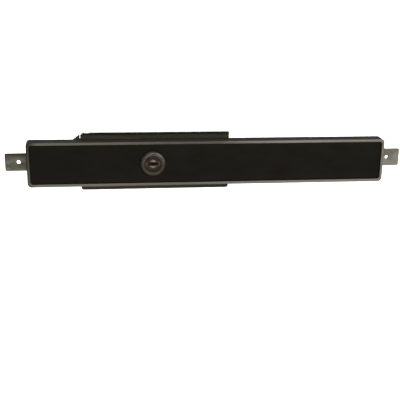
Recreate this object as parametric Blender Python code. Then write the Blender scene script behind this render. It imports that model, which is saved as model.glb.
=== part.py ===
"""Centre lock handle of a roller garage door, modelled piece by piece.

The bar lies along X, +Y points into the door and +Z is up. The origin is on the lock plate's back,
at the middle of the bar's length and height. Turning the key barrel a quarter turn pushes the two
tongues out of the bar's ends.
"""
from math import cos, pi, radians, sin, sqrt, tan

import bmesh
import bpy
from mathutils import Vector

MM = 0.001

# Fits
CLEARANCE = 0.3 * MM
SLIDE_GAP = 0.3 * MM
PIN_SLOT_GAP = 0.5 * MM
SWING_GAP = 0.8 * MM

# Casing
BAR_LENGTH = 275.0 * MM
BAR_HEIGHT = 34.0 * MM
BAR_DEPTH = 13.5 * MM
END_DRAFT = 1.5 * MM
CORNER_RADIUS = 3.0 * MM
FACE_CORNER_RADIUS = 2.0 * MM
CAVITY_CORNER_RADIUS = 1.0 * MM
SIDE_WALL = 2.0 * MM
FRONT_WALL = 2.0 * MM
RIM_WIDTH = 2.2 * MM
FACE_DEPTH = 2.2 * MM
EDGE_RADIUS = 0.6 * MM
RIB_THICKNESS = 1.2 * MM
RIB_HEIGHT = 2.4 * MM
RIB_SPACING = 20.0 * MM
FIXING_PAST_GUIDE = 3.5 * MM
FIXING_BOSS_GAP = 0.7 * MM
FIXING_HOLE_DIAMETER = 3.4 * MM
FIXING_HOLE_DEPTH = 7.0 * MM

# Face plate in the casing's sunk front
FACE_PLATE_THICKNESS = 0.8 * MM

# Lock plate behind the casing
PLATE_THICKNESS = 2.0 * MM
PLATE_HEIGHT = 44.6 * MM
PLATE_DROP = 0.8 * MM
PLATE_PAST_LEFT_GUIDE = 8.35 * MM
PLATE_PAST_RIGHT_GUIDE = 13.4 * MM
PLATE_CORNER_RADIUS = 1.8 * MM
PLATE_UPPER_CORNER_RADIUS = 0.3 * MM
LUG_WIDTH = 5.4 * MM
LUG_TOP_WIDTH = 0.8 * MM
LUG_TOP_BELOW_PLATE = 1.7 * MM
LUG_SLOPE_DROP = 3.4 * MM
LUG_SLIT_WIDTH = 0.5 * MM
LUG_SLIT_DEPTH = 4.2 * MM
LUG_CORNER_CUT = 1.8 * MM
LUG_FOOT_DEPTH = 14.0 * MM
EDGE_NOTCH_FROM_LEFT = 3.5 * MM
EDGE_NOTCH_WIDTH = 3.6 * MM
EDGE_NOTCH_DEPTH = 0.4 * MM

# Lock barrel
BARREL_BODY_DIAMETER = 16.0 * MM
COLLAR_LIP = 1.5 * MM
COLLAR_THICKNESS = 1.6 * MM
COLLAR_CHAMFER = 0.5 * MM
BARREL_WALL = 2.3 * MM
BARREL_FLAT_DEPTH = 1.0 * MM
NUT_WALL = 2.5 * MM
NUT_THICKNESS = 2.5 * MM
PLUG_HEAD_LIP = 0.6 * MM
PLUG_HEAD_LENGTH = 2.0 * MM
PLUG_HEAD_CHAMFER = 0.2 * MM
PLUG_END_WALL = 0.6 * MM
PLUG_SUNK = 0.6 * MM
PLUG_BOSS_DIAMETER = 6.4 * MM
PLUG_BOSS_HEIGHT = 0.45 * MM
PLUG_BOSS_CROWN = 0.1 * MM
PLUG_BOSS_SLOPE = 1.3 * MM
PLUG_DIMPLE_DIAMETER = 1.3 * MM
PLUG_DIMPLE_DEPTH = 0.4 * MM
PLUG_DIMPLE_FROM_EDGE = 1.2 * MM
KEYWAY_FROM_EDGE = 1.8 * MM
KEYWAY_HEIGHT = 2.0 * MM

# Wafers in the plug
WAFER_COUNT = 4
WAFER_THICKNESS = 0.6 * MM
WAFER_HEIGHT = 5.0 * MM
WAFER_SIDE = 1.4 * MM
WAFER_WINDOW_HEIGHT = 2.6 * MM
HEAD_TO_FIRST_SLOT = 0.2 * MM
GROOVE_DEPTH = 1.2 * MM

# Drive disc, its pins and its screw
DISC_THICKNESS = 1.5 * MM
PIN_DIAMETER = 3.0 * MM
PIN_HEAD_DIAMETER = 4.6 * MM
PIN_HEAD_HEIGHT = 0.6 * MM
DISC_EDGE = 1.2 * MM
DISC_TO_WALL = 1.7 * MM
TAIL_SQUARE = 6.0 * MM
WASHER_DIAMETER = 8.0 * MM
WASHER_THICKNESS = 0.4 * MM
DISC_SCREW_HEAD_DIAMETER = 6.4 * MM
DISC_SCREW_DIAMETER = 2.6 * MM
DISC_SCREW_LENGTH = 3.2 * MM
DISC_SCREW_RECESS = 0.6 * MM
TAIL_HOLE_DEPTH = 2.8 * MM

# Tongues
TONGUE_THICKNESS = 1.6 * MM
TONGUE_HEIGHT = 13.6 * MM
TONGUE_REACH = 17.4 * MM
TONGUE_CORNER_RADIUS = 1.0 * MM
TONGUE_HOLE_DIAMETER = 3.0 * MM
TONGUE_HOLE_FROM_TIP = 10.1 * MM
FORK_TO_WASHER = 0.7 * MM
FORK_PRONG = 2.5 * MM
FORK_NECK = 6.0 * MM
FORK_SLOPE = 6.0 * MM
QUARTER_TURN = radians(90)

# Guide blocks, keepers and screws
GUIDE_LENGTH = 12.0 * MM
GUIDE_TO_WALL = 1.6 * MM
GUIDE_BOSS_HEIGHT = 3.0 * MM
GUIDE_BOSS_DIAMETER = 6.5 * MM
OUTER_GUIDE_FROM_END = 8.5 * MM
LEFT_GUIDE_SPACING = 32.6 * MM
KEEPER_THICKNESS = 1.5 * MM
KEEPER_WIDTH = 10.0 * MM
SCREW_DIAMETER = 2.6 * MM
SCREW_HEAD_DIAMETER = 5.2 * MM
SCREW_HEAD_LAND = 0.2 * MM
SCREW_SUNK = 0.1 * MM
SCREW_BITE = 2.2 * MM
SCREW_POINT = 0.4 * MM
CROSS_WIDTH = 0.8 * MM
CROSS_LENGTH = 2.8 * MM
CROSS_DEPTH = 0.9 * MM

# Smoothness of curves
ROUND_SEGMENTS = 32
SMALL_ROUND_SEGMENTS = 20
DIMPLE_SEGMENTS = 12
CORNER_SEGMENTS = 6
SHARP_ANGLE = radians(35)
OVERCUT = 1.0 * MM
MERGE_DISTANCE = 0.002 * MM

# Depths along Y from the door's face at 0 out to the front: the sheets and the mechanism
PLATE_FRONT = -PLATE_THICKNESS
CASING_BACK = PLATE_FRONT - CLEARANCE
MECHANISM_BACK = CASING_BACK
TONGUE_BACK = CASING_BACK
TONGUE_FRONT = TONGUE_BACK - TONGUE_THICKNESS
DISC_BACK = TONGUE_FRONT - CLEARANCE
DISC_FRONT = DISC_BACK - DISC_THICKNESS
WASHER_FRONT = DISC_BACK + CLEARANCE
WASHER_BACK = WASHER_FRONT + WASHER_THICKNESS
DISC_SCREW_HEAD_FRONT = WASHER_BACK + CLEARANCE
PIN_HEAD_BACK = DISC_FRONT - CLEARANCE
PIN_HEAD_FRONT = PIN_HEAD_BACK - PIN_HEAD_HEIGHT
BARREL_BACK = PIN_HEAD_FRONT - CLEARANCE

# Depths along Y: the casing's front and what is fitted in it
RIM_FRONT = CASING_BACK - BAR_DEPTH
SUNK_FACE = RIM_FRONT + FACE_DEPTH
CAVITY_FLOOR = SUNK_FACE + FRONT_WALL
FACE_PLATE_BACK = SUNK_FACE - CLEARANCE
FACE_PLATE_FRONT = FACE_PLATE_BACK - FACE_PLATE_THICKNESS
COLLAR_BACK = FACE_PLATE_FRONT - CLEARANCE
COLLAR_FRONT = COLLAR_BACK - COLLAR_THICKNESS
PLUG_FRONT = COLLAR_FRONT + PLUG_SUNK
PLUG_HEAD_BACK = PLUG_FRONT + PLUG_HEAD_LENGTH
GUIDE_FRONT = CAVITY_FLOOR + GUIDE_BOSS_HEIGHT + CLEARANCE
GUIDE_BACK = CASING_BACK
KEEPER_FRONT = GUIDE_BACK + CLEARANCE
KEEPER_BACK = KEEPER_FRONT + KEEPER_THICKNESS

# Wafers, spread between the plug's head and its end wall
HALF_SLOT = WAFER_THICKNESS / 2 + CLEARANCE
FIRST_WAFER = PLUG_HEAD_BACK + HEAD_TO_FIRST_SLOT + HALF_SLOT
LAST_WAFER = BARREL_BACK - PLUG_END_WALL - HALF_SLOT
WAFER_PITCH = (LAST_WAFER - FIRST_WAFER) / (WAFER_COUNT - 1)
WAFER_PLACES = [FIRST_WAFER + step * WAFER_PITCH for step in range(WAFER_COUNT)]

# Heights along Z
CAVITY_HALF_HEIGHT = BAR_HEIGHT / 2 - SIDE_WALL
PLATE_TOP = PLATE_HEIGHT / 2 - PLATE_DROP
PLATE_BOTTOM = -PLATE_HEIGHT / 2 - PLATE_DROP
CHANNEL_HALF_HEIGHT = TONGUE_HEIGHT / 2 + SLIDE_GAP
GUIDE_HALF_HEIGHT = CAVITY_HALF_HEIGHT - GUIDE_TO_WALL
GUIDE_SCREW_Z = (CHANNEL_HALF_HEIGHT + GUIDE_HALF_HEIGHT) / 2
FIXING_BOSS_DIAMETER = CAVITY_HALF_HEIGHT - TONGUE_HEIGHT / 2 - 2 * FIXING_BOSS_GAP
FIXING_Z = (CAVITY_HALF_HEIGHT + TONGUE_HEIGHT / 2) / 2

# Round sizes of the barrel and the disc
BARREL_ACROSS_FLATS = BARREL_BODY_DIAMETER - 2 * BARREL_FLAT_DEPTH
COLLAR_DIAMETER = BARREL_BODY_DIAMETER + 2 * COLLAR_LIP
NUT_ACROSS_FLATS = BARREL_BODY_DIAMETER + 2 * NUT_WALL
PLUG_DIAMETER = BARREL_BODY_DIAMETER - 2 * (BARREL_WALL + CLEARANCE)
PLUG_HEAD_DIAMETER = PLUG_DIAMETER + 2 * PLUG_HEAD_LIP
PLUG_DIMPLE_RADIUS = PLUG_HEAD_DIAMETER / 2 - PLUG_DIMPLE_FROM_EDGE
KEYWAY_WIDTH = PLUG_HEAD_DIAMETER - 2 * KEYWAY_FROM_EDGE
DISC_RADIUS = CAVITY_HALF_HEIGHT - DISC_TO_WALL
PIN_CIRCLE_RADIUS = DISC_RADIUS - DISC_EDGE - PIN_DIAMETER / 2

# Lengths along X, from the barrel's axis for the tongues and from the bar's middle for the rest
PIN_OFFSET = PIN_CIRCLE_RADIUS * sin(QUARTER_TURN / 2)
STROKE = 2 * PIN_OFFSET
FORK_SLOT_WIDTH = PIN_DIAMETER + 2 * PIN_SLOT_GAP
FORK_TIP = PIN_OFFSET + FORK_SLOT_WIDTH / 2 + FORK_PRONG
FORK_INNER_EDGE = WASHER_DIAMETER / 2 + FORK_TO_WASHER
FORK_OUTER_EDGE = CAVITY_HALF_HEIGHT - SWING_GAP
STRIP_START = FORK_TIP + SWING_GAP
SHOULDER_END = STRIP_START + FORK_NECK + FORK_SLOPE
INNER_GUIDE_FROM_BARREL = SHOULDER_END + STROKE + SWING_GAP + GUIDE_LENGTH / 2
OUTER_GUIDE_FROM_MIDDLE = BAR_LENGTH / 2 - OUTER_GUIDE_FROM_END - GUIDE_LENGTH / 2
LEFT_INNER_GUIDE = -OUTER_GUIDE_FROM_MIDDLE + LEFT_GUIDE_SPACING
BARREL_X = LEFT_INNER_GUIDE + INNER_GUIDE_FROM_BARREL
RIGHT_INNER_GUIDE = BARREL_X + INNER_GUIDE_FROM_BARREL
GUIDES = {
    "left_outer": -OUTER_GUIDE_FROM_MIDDLE,
    "left_inner": LEFT_INNER_GUIDE,
    "right_inner": RIGHT_INNER_GUIDE,
    "right_outer": OUTER_GUIDE_FROM_MIDDLE,
}
PLATE_LEFT = LEFT_INNER_GUIDE - PLATE_PAST_LEFT_GUIDE
PLATE_RIGHT = RIGHT_INNER_GUIDE + PLATE_PAST_RIGHT_GUIDE
FIXING_FROM_GUIDE = GUIDE_LENGTH / 2 + FIXING_PAST_GUIDE + FIXING_BOSS_DIAMETER / 2
FIXING_FROM_MIDDLE = OUTER_GUIDE_FROM_MIDDLE - FIXING_FROM_GUIDE


def clear_scene():
    """Empties the file of objects."""
    for item in list(bpy.data.objects):
        bpy.data.objects.remove(item, do_unlink=True)


def solid(name, points, faces):
    """Object of a closed mesh whose faces are turned outwards."""
    mesh = bpy.data.meshes.new(name)
    shape = bmesh.new()
    corners = [shape.verts.new(point) for point in points]
    for face in faces:
        shape.faces.new([corners[index] for index in face])
    bmesh.ops.recalc_face_normals(shape, faces=shape.faces)
    shape.to_mesh(mesh)
    shape.free()
    item = bpy.data.objects.new(name, mesh)
    bpy.context.scene.collection.objects.link(item)
    return item


def loft(name, outlines):
    """Closed body through outlines of equal point count, each an (outline, y) pair, capped at both ends."""
    count = len(outlines[0][0])
    points = [(x, y, z) for outline, y in outlines for x, z in outline]
    faces = [range(count), range(len(points) - count, len(points))]
    for ring in range(len(outlines) - 1):
        start = ring * count
        for index in range(count):
            following = (index + 1) % count
            faces.append((start + index, start + following, start + count + following, start + count + index))
    return solid(name, points, faces)


def prism(name, outline, front, back):
    """Outline in the XZ plane, drawn out along Y from front to back."""
    return loft(name, [(outline, front), (outline, back)])


def turned(name, profile, segments=ROUND_SEGMENTS):
    """Closed body turned about the Y axis from (radius, y) points that close at the axis or on themselves."""
    points = []
    rings = []
    for radius, y in profile:
        steps = 1 if radius == 0 else segments
        rings.append([len(points) + step for step in range(steps)])
        for step in range(steps):
            angle = 2 * pi * step / segments
            points.append((radius * cos(angle), y, radius * sin(angle)))
    closes_on_itself = all(radius > 0 for radius, y in profile)
    pairs = list(zip(rings, rings[1:] + rings[:1]))
    if not closes_on_itself:
        pairs.pop()
    faces = []
    for first, second in pairs:
        for step in range(segments):
            face = []
            for ring, at in ((first, step), (first, step + 1), (second, step + 1), (second, step)):
                corner = ring[at % len(ring)]
                if corner not in face:
                    face.append(corner)
            faces.append(face)
    return solid(name, points, faces)


def rod(name, radius, front, back, segments=SMALL_ROUND_SEGMENTS):
    """Plain cylinder along Y."""
    return turned(name, [(0, front), (radius, front), (radius, back), (0, back)], segments)


def box(name, x_range, y_range, z_range):
    """Box between three pairs of limits."""
    left, right = x_range
    low, high = z_range
    return prism(name, [(left, low), (right, low), (right, high), (left, high)], *y_range)


def rounded(corners):
    """Closed outline of straight runs from (x, z, radius) corners, each turned with an arc of its radius."""
    outline = []
    for before, corner, after in zip(corners[-1:] + corners[:-1], corners, corners[1:] + corners[:1]):
        point = Vector(corner[:2])
        radius = corner[2]
        if radius == 0:
            outline.append(tuple(point))
            continue
        towards = (Vector(before[:2]) - point).normalized()
        away = (Vector(after[:2]) - point).normalized()
        half = towards.angle(away) / 2
        centre = point + (towards + away).normalized() * radius / sin(half)
        start = point + towards * radius / tan(half) - centre
        end = point + away * radius / tan(half) - centre
        sweep = start.angle_signed(end)
        for step in range(CORNER_SEGMENTS + 1):
            angle = -sweep * step / CORNER_SEGMENTS
            x = start.x * cos(angle) - start.y * sin(angle)
            z = start.x * sin(angle) + start.y * cos(angle)
            outline.append((centre.x + x, centre.y + z))
    return outline


def bar_outline(inset, least_radius=FACE_CORNER_RADIUS, past_end=0.0):
    """The bar's rounded oblong, drawn in by inset all round, and longer by past_end at each end."""
    half_length = BAR_LENGTH / 2 - inset + past_end
    half_height = BAR_HEIGHT / 2 - inset
    radius = max(CORNER_RADIUS - inset, least_radius)
    return rounded([
        (-half_length, -half_height, radius),
        (half_length, -half_height, radius),
        (half_length, half_height, radius),
        (-half_length, half_height, radius),
    ])


def merge_doubles(mesh):
    """Merges the corners that a Boolean operation leaves twice in one place."""
    shape = bmesh.new()
    shape.from_mesh(mesh)
    bmesh.ops.remove_doubles(shape, verts=shape.verts, dist=MERGE_DISTANCE)
    bmesh.ops.dissolve_degenerate(shape, edges=shape.edges, dist=MERGE_DISTANCE)
    shape.to_mesh(mesh)
    shape.free()


def combine(target, operation, tools):
    """Applies Boolean operations to target with each tool, and removes the tools."""
    for tool in tools:
        step = target.modifiers.new("step", "BOOLEAN")
        step.operation = operation
        step.solver = "EXACT"
        step.object = tool
        evaluated = target.evaluated_get(bpy.context.evaluated_depsgraph_get())
        result = bpy.data.meshes.new_from_object(evaluated)
        target.modifiers.remove(step)
        merge_doubles(result)
        result.name = target.name
        target.data = result
        bpy.data.objects.remove(tool, do_unlink=True)
    return target


def cut(target, *tools):
    """Cuts the tools out of target."""
    return combine(target, "DIFFERENCE", tools)


def join(target, *tools):
    """Makes the tools part of target."""
    return combine(target, "UNION", tools)


def shift(item, x=0.0, y=0.0, z=0.0):
    """Moves an object's mesh within its own coordinates."""
    for vertex in item.data.vertices:
        vertex.co += Vector((x, y, z))
    return item


def finish(item, colour, roughness, metallic, smooth=False):
    """Gives an object its own material, and smooth shading if it is round."""
    material = bpy.data.materials.new(item.name)
    material.use_nodes = True
    shader = material.node_tree.nodes["Principled BSDF"]
    shader.inputs["Base Color"].default_value = (*colour, 1)
    shader.inputs["Roughness"].default_value = roughness
    shader.inputs["Metallic"].default_value = metallic
    item.data.materials.clear()
    item.data.materials.append(material)
    if smooth:
        item.data.shade_smooth()
        item.data.set_sharp_from_angle(angle=SHARP_ANGLE)
    return item


def black_paint(item):
    return finish(item, (0.011, 0.010, 0.009), 0.45, 0.0)


def black_inlay(item):
    return finish(item, (0.012, 0.012, 0.010), 0.35, 0.0)


def dark_steel(item):
    return finish(item, (0.030, 0.026, 0.020), 0.5, 0.3)


def zinc_plate(item):
    return finish(item, (0.22, 0.21, 0.17), 0.4, 0.9)


def dull_nickel(item):
    return finish(item, (0.16, 0.13, 0.11), 0.35, 0.9, smooth=True)


def brass(item):
    return finish(item, (0.55, 0.40, 0.16), 0.35, 1.0)


def plain_steel(item):
    return finish(item, (0.35, 0.35, 0.34), 0.35, 1.0, smooth=True)


def nylon(item):
    return finish(item, (0.62, 0.60, 0.54), 0.6, 0.0)


def barrel_opening(front, back):
    """Cutter for the flat-sided hole that the barrel's body passes through."""
    opening = rod("opening", BARREL_BODY_DIAMETER / 2 + CLEARANCE, front, back, ROUND_SEGMENTS)
    half_height = BARREL_ACROSS_FLATS / 2 + CLEARANCE
    for side in (1, -1):
        limits = sorted((side * half_height, side * BARREL_BODY_DIAMETER))
        beyond = (-BARREL_BODY_DIAMETER, BARREL_BODY_DIAMETER)
        cut(opening, box("flat", beyond, (front - OVERCUT, back + OVERCUT), limits))
    return shift(opening, x=BARREL_X)


def casing_shell():
    """Tray with a raised front rim, from the cavity's floor round the back edge to the sunk face.

    Its end walls are drafted, so it is longer at the back.
    """
    inner_edge = RIM_WIDTH - EDGE_RADIUS
    return loft("casing", [
        (bar_outline(SIDE_WALL, CAVITY_CORNER_RADIUS), CAVITY_FLOOR),
        (bar_outline(SIDE_WALL, CAVITY_CORNER_RADIUS, END_DRAFT), CASING_BACK),
        (bar_outline(0, past_end=END_DRAFT), CASING_BACK),
        (bar_outline(0), RIM_FRONT + EDGE_RADIUS),
        (bar_outline(EDGE_RADIUS * (1 - sqrt(0.5))), RIM_FRONT + EDGE_RADIUS * (1 - sqrt(0.5))),
        (bar_outline(EDGE_RADIUS), RIM_FRONT),
        (bar_outline(inner_edge), RIM_FRONT),
        (bar_outline(RIM_WIDTH), RIM_FRONT + EDGE_RADIUS),
        (bar_outline(RIM_WIDTH), SUNK_FACE),
    ])


def rib_places():
    """Evenly spread places for the stiffening ribs, in each bay between two guides or a guide and the nut."""
    guide_half = GUIDE_LENGTH / 2
    nut_radius = NUT_ACROSS_FLATS / sqrt(3)
    bays = [
        (LEFT_INNER_GUIDE + guide_half, BARREL_X - nut_radius),
        (BARREL_X + nut_radius, RIGHT_INNER_GUIDE - guide_half),
        (RIGHT_INNER_GUIDE + guide_half, FIXING_FROM_MIDDLE - FIXING_BOSS_DIAMETER / 2),
    ]
    places = []
    for start, end in bays:
        count = round((end - start) / RIB_SPACING)
        places += [start + (end - start) * step / (count + 1) for step in range(1, count + 1)]
    return places


def make_casing():
    """Cast tray with ribs, screw bosses, the barrel's opening and a notch for each tongue."""
    casing = casing_shell()
    inside_wall = CAVITY_HALF_HEIGHT + SIDE_WALL / 2
    ribs = [
        box("rib", (x - RIB_THICKNESS / 2, x + RIB_THICKNESS / 2),
            (CAVITY_FLOOR - FRONT_WALL / 2, CAVITY_FLOOR + RIB_HEIGHT), (-inside_wall, inside_wall))
        for x in rib_places()
    ]
    join(casing, *ribs)
    for x in (-FIXING_FROM_MIDDLE, FIXING_FROM_MIDDLE):
        for z in (-FIXING_Z, FIXING_Z):
            boss = rod("boss", FIXING_BOSS_DIAMETER / 2, CAVITY_FLOOR - FRONT_WALL / 2, CASING_BACK)
            bottom = CASING_BACK - FIXING_HOLE_DEPTH
            hole = rod("hole", FIXING_HOLE_DIAMETER / 2, bottom, CASING_BACK + OVERCUT)
            join(casing, shift(boss, x=x, z=z))
            cut(casing, shift(hole, x=x, z=z))
    for x in GUIDES.values():
        for z in (-GUIDE_SCREW_Z, GUIDE_SCREW_Z):
            top = CAVITY_FLOOR + GUIDE_BOSS_HEIGHT
            boss = rod("boss", GUIDE_BOSS_DIAMETER / 2, CAVITY_FLOOR - FRONT_WALL / 2, top)
            hole = rod("hole", SCREW_DIAMETER / 2 + CLEARANCE, top - SCREW_BITE - CLEARANCE, top + OVERCUT)
            join(casing, shift(boss, x=x, z=z))
            cut(casing, shift(hole, x=x, z=z))
    cut(casing, barrel_opening(SUNK_FACE - OVERCUT, CAVITY_FLOOR + OVERCUT))
    beyond = BAR_LENGTH / 2 + END_DRAFT + OVERCUT
    inside = BAR_LENGTH / 2 - SIDE_WALL - OVERCUT
    notch_depths = (TONGUE_FRONT - SLIDE_GAP, CASING_BACK + OVERCUT)
    notch_heights = (-CHANNEL_HALF_HEIGHT, CHANNEL_HALF_HEIGHT)
    cut(casing, box("notch", (-beyond, -inside), notch_depths, notch_heights))
    cut(casing, box("notch", (inside, beyond), notch_depths, notch_heights))
    return black_paint(casing)


def make_face_plate():
    """Thin inlay in the sunk face."""
    plate = prism("face_plate", bar_outline(RIM_WIDTH + CLEARANCE), FACE_PLATE_FRONT, FACE_PLATE_BACK)
    cut(plate, barrel_opening(FACE_PLATE_FRONT - OVERCUT, FACE_PLATE_BACK + OVERCUT))
    return black_inlay(plate)


def countersink(x, z, back, front):
    """Cutter for a countersunk screw hole through a sheet from back to front."""
    head = SCREW_HEAD_DIAMETER / 2 + CLEARANCE
    shank = SCREW_DIAMETER / 2 + CLEARANCE
    land = back - SCREW_SUNK - SCREW_HEAD_LAND
    cutter = turned("countersink", [
        (0, back + OVERCUT),
        (head, back + OVERCUT),
        (head, land),
        (shank, land - (head - shank)),
        (shank, front - OVERCUT),
        (0, front - OVERCUT),
    ], SMALL_ROUND_SEGMENTS)
    return shift(cutter, x=x, z=z)


def lock_plate_outline():
    """Oblong plate with a shallow edge notch, a cut upper left corner, and a slit and a sloped lug by it."""
    slit_left = PLATE_LEFT
    slit_right = PLATE_LEFT + LUG_SLIT_WIDTH
    lug_top = PLATE_TOP - LUG_TOP_BELOW_PLATE
    lug_foot = slit_left - LUG_WIDTH
    notch_left = PLATE_LEFT + EDGE_NOTCH_FROM_LEFT
    notch_right = notch_left + EDGE_NOTCH_WIDTH
    corner = PLATE_CORNER_RADIUS
    return rounded([
        (PLATE_LEFT, PLATE_BOTTOM, corner),
        (PLATE_RIGHT, PLATE_BOTTOM, corner),
        (PLATE_RIGHT, PLATE_TOP, PLATE_UPPER_CORNER_RADIUS),
        (notch_right, PLATE_TOP, 0),
        (notch_right, PLATE_TOP - EDGE_NOTCH_DEPTH, 0),
        (notch_left, PLATE_TOP - EDGE_NOTCH_DEPTH, 0),
        (notch_left, PLATE_TOP, 0),
        (slit_right + LUG_CORNER_CUT, PLATE_TOP, 0),
        (slit_right, PLATE_TOP - LUG_CORNER_CUT, 0),
        (slit_right, PLATE_TOP - LUG_SLIT_DEPTH, 0),
        (slit_left, PLATE_TOP - LUG_SLIT_DEPTH, 0),
        (slit_left, lug_top, 0),
        (slit_left - LUG_TOP_WIDTH, lug_top, 0),
        (lug_foot, lug_top - LUG_SLOPE_DROP, 0),
        (lug_foot, PLATE_TOP - LUG_FOOT_DEPTH, 0),
        (PLATE_LEFT, PLATE_TOP - LUG_FOOT_DEPTH, 0),
    ])


def make_lock_plate():
    """Flat steel plate behind the bar, held by four countersunk screws from the back."""
    plate = prism("lock_plate", lock_plate_outline(), PLATE_FRONT, 0)
    for x in (GUIDES["left_inner"], GUIDES["right_inner"]):
        for z in (-GUIDE_SCREW_Z, GUIDE_SCREW_Z):
            cut(plate, countersink(x, z, 0, PLATE_FRONT))
    return dark_steel(plate)


def make_guide(place, x):
    """Plastic block with a channel in its back, in which a tongue slides."""
    block = box(place + "_guide", (-GUIDE_LENGTH / 2, GUIDE_LENGTH / 2), (GUIDE_FRONT, GUIDE_BACK),
                (-GUIDE_HALF_HEIGHT, GUIDE_HALF_HEIGHT))
    cut(block, box("channel", (-GUIDE_LENGTH, GUIDE_LENGTH), (TONGUE_FRONT - SLIDE_GAP, GUIDE_BACK + OVERCUT),
                   (-CHANNEL_HALF_HEIGHT, CHANNEL_HALF_HEIGHT)))
    for z in (-GUIDE_SCREW_Z, GUIDE_SCREW_Z):
        hole = rod("hole", SCREW_DIAMETER / 2 + CLEARANCE, GUIDE_FRONT - OVERCUT, GUIDE_BACK + OVERCUT)
        cut(block, shift(hole, z=z))
    block.location.x = x
    return nylon(block)


def make_keeper(side, x):
    """Steel strap across the back of an outer guide block."""
    half_width = KEEPER_WIDTH / 2
    corners = [(-1, -1), (1, -1), (1, 1), (-1, 1)]
    outline = rounded([(a * half_width, b * GUIDE_HALF_HEIGHT, PLATE_CORNER_RADIUS) for a, b in corners])
    strap = prism(side + "_keeper", outline, KEEPER_FRONT, KEEPER_BACK)
    for z in (-GUIDE_SCREW_Z, GUIDE_SCREW_Z):
        cut(strap, countersink(0, z, KEEPER_BACK, KEEPER_FRONT))
    strap.location.x = x
    return zinc_plate(strap)


def make_screw(name, x, z, back):
    """Countersunk screw with a cross recess, from the sheet's back down into the casing's boss."""
    head = SCREW_HEAD_DIAMETER / 2
    shank = SCREW_DIAMETER / 2
    top = back - SCREW_SUNK
    tip = CAVITY_FLOOR + GUIDE_BOSS_HEIGHT - SCREW_BITE
    screw = turned(name, [
        (0, top),
        (head, top),
        (head, top - SCREW_HEAD_LAND),
        (shank, top - SCREW_HEAD_LAND - (head - shank)),
        (shank, tip + SCREW_POINT),
        (shank - SCREW_POINT, tip),
        (0, tip),
    ], SMALL_ROUND_SEGMENTS)
    for length, width in ((CROSS_LENGTH, CROSS_WIDTH), (CROSS_WIDTH, CROSS_LENGTH)):
        cut(screw, box("cross", (-length / 2, length / 2), (top - CROSS_DEPTH, top + OVERCUT),
                       (-width / 2, width / 2)))
    screw.location = (x, 0, z)
    return plain_steel(screw)


def make_barrel_housing():
    """Round collar and flat-sided body with a stepped bore and two grooves for the wafers."""
    bore = PLUG_DIAMETER / 2 + CLEARANCE
    head_bore = PLUG_HEAD_DIAMETER / 2 + CLEARANCE
    collar = COLLAR_DIAMETER / 2
    body = BARREL_BODY_DIAMETER / 2
    housing = turned("barrel_housing", [
        (head_bore, COLLAR_FRONT + COLLAR_CHAMFER / 2),
        (head_bore + COLLAR_CHAMFER / 2, COLLAR_FRONT),
        (collar - COLLAR_CHAMFER, COLLAR_FRONT),
        (collar, COLLAR_FRONT + COLLAR_CHAMFER),
        (collar, COLLAR_BACK),
        (body, COLLAR_BACK),
        (body, BARREL_BACK),
        (bore, BARREL_BACK),
        (bore, PLUG_HEAD_BACK + CLEARANCE),
        (head_bore, PLUG_HEAD_BACK + CLEARANCE),
    ])
    beyond = (-BARREL_BODY_DIAMETER, BARREL_BODY_DIAMETER)
    groove_front = WAFER_PLACES[0] - HALF_SLOT
    groove_half_height = WAFER_HEIGHT / 2 + 2 * CLEARANCE
    for side in (-1, 1):
        flat = sorted((side * BARREL_ACROSS_FLATS / 2, side * BARREL_BODY_DIAMETER))
        cut(housing, box("flat", beyond, (COLLAR_BACK, BARREL_BACK + OVERCUT), flat))
        groove = sorted((side * bore / 2, side * (bore + GROOVE_DEPTH)))
        cut(housing, box("groove", groove, (groove_front, BARREL_BACK + OVERCUT),
                         (-groove_half_height, groove_half_height)))
    return dull_nickel(housing)


def make_barrel_nut():
    """Thin hexagon nut against the back of the casing's front wall."""
    radius = NUT_ACROSS_FLATS / sqrt(3)
    outline = [(radius * cos(step * pi / 3), radius * sin(step * pi / 3)) for step in range(6)]
    front = CAVITY_FLOOR + CLEARANCE
    nut = prism("barrel_nut", outline, front, front + NUT_THICKNESS)
    bore = BARREL_BODY_DIAMETER / 2 + CLEARANCE
    cut(nut, rod("bore", bore, front - OVERCUT, front + NUT_THICKNESS + OVERCUT, ROUND_SEGMENTS))
    return plain_steel(nut)


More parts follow.
